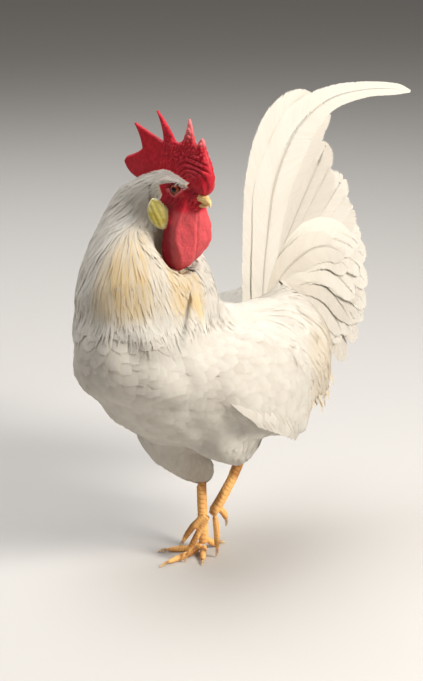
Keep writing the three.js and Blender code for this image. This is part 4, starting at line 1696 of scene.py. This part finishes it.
def wing_coverts():
    """The broad feathers that cover the wings, small at the rear."""
    keep = part("wing") & (shell_at[:, 1] < mix(74, 95, smoothstep(150, 165, shell_at[:, 2])))
    rear = lambda p: smoothstep(48, 74, p[:, 1])
    size = lambda p: mix(mix(24, 40, smoothstep(-110, 60, p[:, 1])), 13, rear(p))
    seeds = scattered(shell, keep, lambda p: mix(6.5, 3.4, rear(p)), 41)
    coat(
        "wing_coverts", shell, seeds, wing_flow, size, lambda p: size(p) * 0.26,
        unwrap_about(1, (0, 220), -140, 110), "white_plumage", 42, section="broad", fit=True,
        lift=(-2.0, 0.8), lift_spread=0.3,
    )


def thigh_plumage():
    """The feathers of the thighs, shorter and closer towards the hocks."""
    keep = part("thigh")
    size = lambda p: mix(20, 36, smoothstep(85, 190, p[:, 2]))
    seeds = scattered(shell, keep, lambda p: mix(3.2, 6.0, smoothstep(95, 170, p[:, 2])), 51)
    coat(
        "thigh_feathers", shell, seeds, steady(0, 0.15, -1), size, lambda p: size(p) * 0.2,
        unwrap_about(2, (0, -5), 80, 250), "white_plumage", 52, lift=(-2.0, 0.8), lift_spread=0.4,
    )


def tail_coverts():
    """The feathers that rise from the tail's root."""
    keep = part("tail_root")
    seeds = scattered(shell, keep, even(5.0), 61)
    coat(
        "tail_base", shell, seeds, steady(0, 0.45, 0.9), even(60), even(7),
        unwrap_about(2, (0, 95), 250, 380), "white_plumage", 62, lift=(-2.0, 1.5), lift_spread=1.0,
    )


body_plumage()
face_feathers()
hackle()
bib_down()
saddle_plumage()
wing_coverts()
thigh_plumage()
tail_coverts()

# ---------------------------------------------------------------- large feathers, barb by barb
BARB_ROWS = 4
BARB_KEEL = 0.25  # mm that a barb is thick
BARB_LAP = 1.7  # width of a barb over the distance to the next


class Spine:
    """The shaft of a large feather: where it runs, its half width and the way its face looks, by length."""

    def __init__(self, stations, face, count=60):
        line = curve(stations, count)
        self.points, self.half = line[:, :3], np.maximum(line[:, 3], 0)
        steps = np.linalg.norm(np.diff(self.points, axis=0), axis=1)
        self.at = np.concatenate([[0], np.cumsum(steps)])
        self.length = self.at[-1]
        forward = unit(np.gradient(self.points, axis=0))
        hint = np.broadcast_to(np.asarray(face, float), forward.shape)
        self.across = unit(np.cross(forward, hint))
        self.over = unit(np.cross(self.across, forward))

    def read(self, values, at):
        return np.stack([np.interp(at, self.at, column) for column in values.T], -1)


def clustered(ends, rng, size, pull):
    """Barb ends gathered into clusters, which leaves small splits between them."""
    out = ends.copy()
    start = 0
    while start < len(ends):
        stop = min(len(ends), start + int(rng.integers(size // 2, size * 2)))
        centre = ends[start:stop].mean()
        out[start:stop] = centre + (ends[start:stop] - centre) * (1 - pull * rng.uniform(0.3, 1.0))
        start = stop
    return out


def barb_faces():
    """A barb's triangles: an upper side of two columns, then a lower one of three, with its keel."""
    return np.array(strip_faces(BARB_ROWS, 2, 0) + strip_faces(BARB_ROWS, 3, 2 + 2 * BARB_ROWS))


def barb_places():
    """Row along the barb, u across it and whether it is the keel, for each point of a barb."""
    rows, us = [], []
    for side in ((-1, 1), KEEL):
        rows += [0.0, *np.repeat(np.arange(1, BARB_ROWS + 1), len(side)), BARB_ROWS + 1.0]
        us += [0, *np.tile(side, BARB_ROWS), 0]
    rows, us = np.array(rows) / (BARB_ROWS + 1), np.array(us, float)
    lower = np.arange(len(us)) >= 2 + 2 * BARB_ROWS
    return rows, us, lower


BARB_SLANT = 1.1  # how far towards the tip a barb ends, over its reach
BARE_SHARE = 0.04  # of the rim, from the root, without barbs
CLUSTER = 16  # about how many barbs hang together
CLUSTER_PULL = 0.08  # how far they draw together, at most
RIPPLE = 0.06  # mm


def large_feather(spine, rng, camber, spacing=1.8):
    """One feather's barbs: points, normals, q (shaft to edge), t (root to tip) and side, by barb."""
    q, u, lower = barb_places()
    keel = BARB_KEEL * (lower & (u == 0))
    made = []
    for side in (-1.0, 1.0):
        rim = np.concatenate([[0], np.cumsum(np.hypot(np.diff(spine.at), np.diff(spine.half)))])
        ends = np.interp(np.arange(rim[-1] * BARE_SHARE, rim[-1], spacing), rim, spine.at)
        ends = np.clip(ends + rng.normal(0, 0.1 * spacing, len(ends)), 0, spine.length)
        reach = np.interp(ends, spine.at, spine.half)
        begins = np.maximum(ends - BARB_SLANT * reach, 0.2 * ends)
        ends = clustered(ends, rng, CLUSTER, CLUSTER_PULL)
        reach = reach * (1 - rng.uniform(0, 0.05, len(ends)))
        begins, ends, reach = (v[:, None] for v in (begins, ends, reach))
        lap = spacing * BARB_LAP * 0.5 * (1 - 0.4 * q**3) * u * (q > 0) * (q < 1)
        at = begins + (ends - begins) * q**1.15
        out = reach * (1 - (1 - q) ** 1.25)
        rise, run = (ends - begins) * 1.15 * (q + 0.02) ** 0.15, reach * 1.25 * (1.02 - q) ** 0.25
        steep = np.hypot(rise, run) + 1e-6
        at, out = at + lap * run / steep, np.maximum(out - lap * rise / steep, 0)
        wave = RIPPLE * np.sin(ends / 3.1 + rng.uniform(0, 6)) * q
        height = -camber * out * (out / np.maximum(spine.half.max(), 1)) + wave - keel
        at = np.clip(at, 0, spine.length * 1.01)
        across, over = spine.read(spine.across, at), spine.read(spine.over, at)
        points = spine.read(spine.points, at) + side * across * out[..., None] + over * height[..., None]
        tilt = across * (side * 2 * camber * out / spine.half.max())[..., None]
        facing = unit(over + tilt) * np.where(lower, -1.0, 1.0)[:, None]
        t = np.broadcast_to(ends / spine.length, out.shape)
        made.append((points, facing, np.broadcast_to(q, out.shape), t, np.full(out.shape, side)))
    return [np.concatenate([one[k] for one in made]) for k in range(5)]


def shaft(spine, thick, count=24, around=5):
    """The shaft of a large feather as a closed tapered tube: points, the ways they face, and faces."""
    at = np.linspace(0, spine.length * 0.96, count)
    radius = thick * (1 - 0.88 * np.linspace(0, 1, count))[:, None, None]
    turn = np.arange(around) * math.tau / around
    ring = np.cos(turn)[None, :, None] * spine.read(spine.across, at)[:, None]
    ring = ring + np.sin(turn)[None, :, None] * spine.read(spine.over, at)[:, None]
    centres = spine.read(spine.points, at)
    rings = (centres[:, None] + ring * radius).reshape(-1, 3)
    points = np.concatenate([rings, centres[:1], centres[-1:]])
    ends = spine.read(spine.over, at[[0, -1]])
    return points, np.concatenate([ring.reshape(-1, 3), ends]), tube_faces(count, around)[:, ::-1]


def feather_arrays(index, count, spine, rng, shaft_thick, gold, look):
    """A feather's barbs and its shaft: of each, points, normals, faces, map places, shade, vane and gold."""
    column, width = (index + 0.5) / count, 0.4 / count
    points, normals, q, t, side = large_feather(spine, rng, **look)
    barbs, size = points.shape[:2]
    faces = barb_faces()[None] + (np.arange(barbs) * size)[:, None, None]
    faces = np.where((side[:, :1, None] > 0), faces[..., ::-1], faces).reshape(-1, 3)
    uv = np.stack([column + side * (0.1 + 0.5 * q) * width, in_margins(t)], -1)
    shade = np.broadcast_to(rng.uniform(0.2, 1.0) + rng.uniform(-0.15, 0.15, (barbs, 1)), t.shape)
    vane = np.stack([q * spine.half.max(), t * spine.length, 0 * t], -1)
    vanes = (points, normals, faces, uv, shade, vane, gold * (1 - t) * np.ones_like(t))
    tube, away, sides = shaft(spine, shaft_thick)
    flat = np.zeros((1, len(tube)))
    uv = np.stack([flat + column, in_margins(np.linspace(0, 1, len(tube))[None])], -1)
    bare = flat[..., None] * np.zeros(3)
    return [vanes, (tube[None], away[None], sides, uv, flat + 0.9, bare, flat + 0.1)]


def plume(name, spines, seed, replaces=(), shaft_thick=0.5, gold=0.0, **look):
    """A piece made of several large feathers."""
    rng = np.random.default_rng(seed)
    parts = []
    for index, spine in enumerate(spines):
        parts += feather_arrays(index, len(spines), spine, rng, shaft_thick, gold, look)
    starts = np.cumsum([0] + [part[0].shape[0] * part[0].shape[1] for part in parts[:-1]])
    faces = np.concatenate([part[2] + start for part, start in zip(parts, starts)])
    joined = lambda k: np.concatenate([part[k].reshape(-1, *part[k].shape[2:]) for part in parts])
    add_piece(
        name, joined(0), faces, PLUMAGE, "white_plumage", joined(3), joined(1), replaces,
        shade=joined(4), gold=joined(6), vane=joined(5),
    )


# ---------------------------------------------------------------- the tail
# Each station of a sickle is a place on its shaft and its half width there.
TAIL_ROOT = np.array([0.0, 92.0, 296.0])
SICKLE_RIGHT = [
    (2, 76, 262, 12), (2, 78, 300, 17), (2.4, 83, 360, 22), (2.6, 90, 420, 26), (2.4, 106, 467, 26),
    (2, 131, 494, 23), (1, 160, 506, 16), (-2, 187, 504, 9), (-3, 198, 500, 1),
]
SICKLE_LEFT = [
    (4.6, 95, 262, 12), (4.6, 94, 300, 20), (4.6, 101, 360, 26), (4.8, 113, 420, 34), (5, 147, 473, 33),
    (6, 204, 503, 17), (8, 270, 508, 10), (10, 330, 502, 7), (10, 360, 496, 1.5),
]
BETWEEN = [
    (3.4, 102, 262, 12), (3.4, 105, 300, 16), (3.4, 110, 340, 20), (3.6, 120, 390, 26), (3.8, 143, 430, 28),
    (4, 171, 458, 26), (4, 190, 478, 21), (4, 206, 493, 14),
]


def rounded_end(stations, blunt=0.97):
    """The same stations with one more near the tip, so that the vane keeps its width and ends round."""
    *rest, before, last = np.asarray(stations, float)
    near = before + (last - before) * blunt
    return np.array([*rest, before, near, last * (1, 1, 1, 0.15)])


TAIL_CAMBER = 0.05


def sickles():
    """The two main sickles, and the feather between them."""
    for name, stations, face, seed, replaced in (
        ("sickle_vane_right", SICKLE_RIGHT, (1, 0, 0.1), 71, "sickle_right"),
        ("sickle_vane_left", SICKLE_LEFT, (1, 0, 0.1), 72, "sickle_left"),
        ("tail_vane_middle", rounded_end(BETWEEN), (1, 0, 0), 73, "tail_middle"),
    ):
        plume(name, [Spine(stations, face)], seed, [replaced], camber=TAIL_CAMBER)


def fan_spine(side, y, z, out, half, order):
    """A straight feather of the fan, nearly flat beside the others."""
    root = TAIL_ROOT + (side * 3, 8 + 5 * order, -4 - 2 * order)
    tip = np.array([side * out, y, z])
    stations = [
        (*(mix(root, tip, f) + (0, 0, 14 * f * (1 - f))), width)
        for f, width in (
            (0, 6), (0.3, half * 0.7), (0.6, half), (0.87, half),
            (0.95, half * 0.85), (0.985, half * 0.55), (1, 3),
        )
    ]
    return Spine(stations, (side, 0, 0.15))


# Of each feather's tip: rearward, up, and out to its side.
FAN_TIPS = [(208, 453, 4), (212, 424, 5.5), (238, 409, 7), (242, 386, 8.5), (253, 370, 10), (264, 340, 11.5)]
FAN_HALF = 25


def fans():
    """The straight feathers of the tail, one piece on each side."""
    for name, side in SIDES.items():
        spines = [fan_spine(side, y, z, out, FAN_HALF, k) for k, (y, z, out) in enumerate(FAN_TIPS)]
        plume(f"tail_fan_{name}", spines, 74 + int(side), [f"tail_feathers_{name}"], camber=TAIL_CAMBER)


# Of each lesser sickle of a layer: its tip's place rearward and up, and how high it arches.
LESSER_TIPS = [
    (264, 325, 60), (280, 292, 68), (278, 266, 70), (280, 247, 70),
    (274, 223, 68), (264, 205, 64), (240, 192, 58),
]
LESSER_HALF = 21
LAYERS_OUT = (13, 16, 19)  # mm out to the side
LAYER_SHORTER = 0.12  # of the length, from each layer to the next


def lesser_spine(side, y, z, arch, out, half, rng):
    """A curved feather that rises from the tail's root, arches over and hangs."""
    root = TAIL_ROOT + (side * 5, 4, -22)
    tip = np.array([side * out, y, z]) + rng.normal(0, 4, 3)
    stations = []
    for f in (0, 0.2, 0.45, 0.7, 0.88, 0.97, 1):
        x = side * mix(5, out, smoothstep(0, 0.6, f))
        yz = mix(root, tip, f)[1:] + (0, arch * 4 * f * (1 - f) * (1 - 0.3 * f))
        width = half * np.interp(f, (0, 0.2, 0.45, 0.88, 0.97, 1), (0.3, 0.8, 1, 0.85, 0.6, 0.1))
        stations.append((x, *yz, width))
    return Spine(stations, (side, 0, 0.3))


def lesser_sickles():
    """The curved feathers over the fans, in layers, one piece on each side."""
    rng = np.random.default_rng(80)
    for name, side in SIDES.items():
        spines = []
        for layer, out in enumerate(LAYERS_OUT):
            shorter = 1 - LAYER_SHORTER * layer
            for y, z, arch in LESSER_TIPS:
                tip_y = TAIL_ROOT[1] + (y - TAIL_ROOT[1]) * shorter
                tip_z = TAIL_ROOT[2] + (z - TAIL_ROOT[2]) * shorter
                spines.append(lesser_spine(side, tip_y, tip_z, arch * shorter, out, LESSER_HALF, rng))
        plume(
            f"lesser_sickles_{name}", spines, 81 + int(side), [f"tail_coverts_{name}"],
            spacing=2.4, shaft_thick=0.4, gold=0.15, camber=0.1,
        )


# ---------------------------------------------------------------- the wings' flight feathers
FLIGHTS = 10
FLIGHT_ROOTS = ((-62, 226), (34, 200))  # (y, z) of the first and last one's root, and of their tips
FLIGHT_TIPS = ((-6, 181), (76, 138))
FLIGHT_FROM = 200.0  # mm out to the side, from where the wing's surface is looked for
WING_INNER = 62.0  # no feather of the wing lies nearer to the middle than this
WING_START = 96.0  # mm out, near which a feather's root is looked for
FLIGHT_LIFT = ((0, -4.0), (0.35, -1.0), (0.6, 1.0), (1, 2.2))


def wing_surface(side, y, z, before):
    """How far out the wing's surface is; beyond its edge it goes on as it did before."""
    hit = shell.tree.ray_cast((side * FLIGHT_FROM, y, z), (-side, 0, 0))[0]
    out = abs(hit[0]) if hit else 0.0
    ahead = 2 * before[-1] - before[-2] if len(before) > 1 else before[-1]
    return out if out > WING_INNER and abs(out - ahead) < 8 else min(ahead, before[-1])


def flight_spine(side, k):
    """One secondary, laid on the wing from under the coverts to a little beyond its lower edge."""
    share = k / (FLIGHTS - 1)
    root, tip = (mix(*np.array(ends, float), share) for ends in (FLIGHT_ROOTS, FLIGHT_TIPS))
    stations, outs = [], [WING_START]
    for t in (0, 0.2, 0.4, 0.6, 0.8, 0.93, 1.0):
        y, z = mix(root, tip, t) + (0, 7 * t * (1 - t))
        outs.append(wing_surface(side, y, z, outs))
        lift = np.interp(t, *np.array(FLIGHT_LIFT).T) - 0.3 * share
        width = 10.5 * np.interp(t, (0, 0.3, 0.8, 0.93, 1), (0.4, 1, 1, 0.8, 0.15))
        stations.append((side * (outs[-1] + lift), y, z, width))
    return Spine(stations, (side, 0, 0.15))


def flights():
    """The secondaries of each wing, from the rear one forward."""
    for name, side in SIDES.items():
        spines = [flight_spine(side, k) for k in reversed(range(FLIGHTS))]
        plume(f"flight_feathers_{name}", spines, 91 + int(side), shaft_thick=0.6, camber=0.1)


sickles()
fans()
lesser_sickles()
flights()

# ---------------------------------------------------------------- stage, lights and camera
AZIMUTH = 42.0
ELEVATION = 16.0
DISTANCE = 2.3
AIM = in_metres((5.4, 4.8, 256.9))
LENS = 108.6
FLOOR_SIZE = 6.0
FLOOR_COLOR = (0.50, 0.48, 0.455, 1)
WARM = (1.0, 0.96, 0.90)
COOL = (0.97, 0.98, 1.0)
LAMP_DISTANCE = 2.4
CAD_MIDDLE = (np.array(cad_box[0]) + np.array(cad_box[1])) / 2


def floor():
    """A plain pale floor at the level of the feet."""
    corners = np.array([(-1, -1, 0), (1, -1, 0), (1, 1, 0), (-1, 1, 0)])
    mesh = mesh_of("floor", corners * FLOOR_SIZE, np.array([(0, 1, 2, 3)]))
    material, _, _, shader = new_material("floor")
    set_values(shader, {"Base Color": FLOOR_COLOR, "Roughness": 0.8})
    mesh.materials.append(material)
    linked("floor", mesh)


def placed(name, data, target, azimuth, elevation, distance):
    """A camera or light that looks at a target from a bearing, in degrees."""
    a, e = math.radians(azimuth), math.radians(elevation)
    back = np.array([math.sin(a) * math.cos(e), -math.cos(a) * math.cos(e), math.sin(e)])
    ob = linked(name, data)
    ob.location = target + back * distance
    ob.rotation_euler = Vector(-back).to_track_quat("-Z", "Y").to_euler()
    return ob


def lamp(name, azimuth, elevation, size, power, color):
    """A square soft light."""
    light = bpy.data.lights.new(name, "AREA")
    light.size = size
    light.energy = power
    light.color = color
    placed(name, light, CAD_MIDDLE, azimuth, elevation, LAMP_DISTANCE)


def camera():
    """The camera stands in front, on the bird's left."""
    data = bpy.data.cameras.new("camera")
    data.lens = LENS
    data.sensor_width = 36.0
    data.clip_end = 50.0
    bpy.context.scene.camera = placed("camera", data, AIM, AZIMUTH, ELEVATION, DISTANCE)


def surroundings():
    """An even faint light from all sides."""
    world = bpy.data.worlds.new("world")
    world.use_nodes = True
    set_values(world.node_tree.nodes["Background"], {"Color": (1.0, 0.96, 0.92, 1), "Strength": 0.16})
    bpy.context.scene.world = world


floor()
lamp("key", 100, 36, 0.8, 84, WARM)
lamp("sky", -45, 78, 2.2, 60, COOL)
lamp("fill", -115, 48, 2.2, 24, COOL)
camera()
surroundings()
bpy.context.scene.view_settings.view_transform = "Standard"
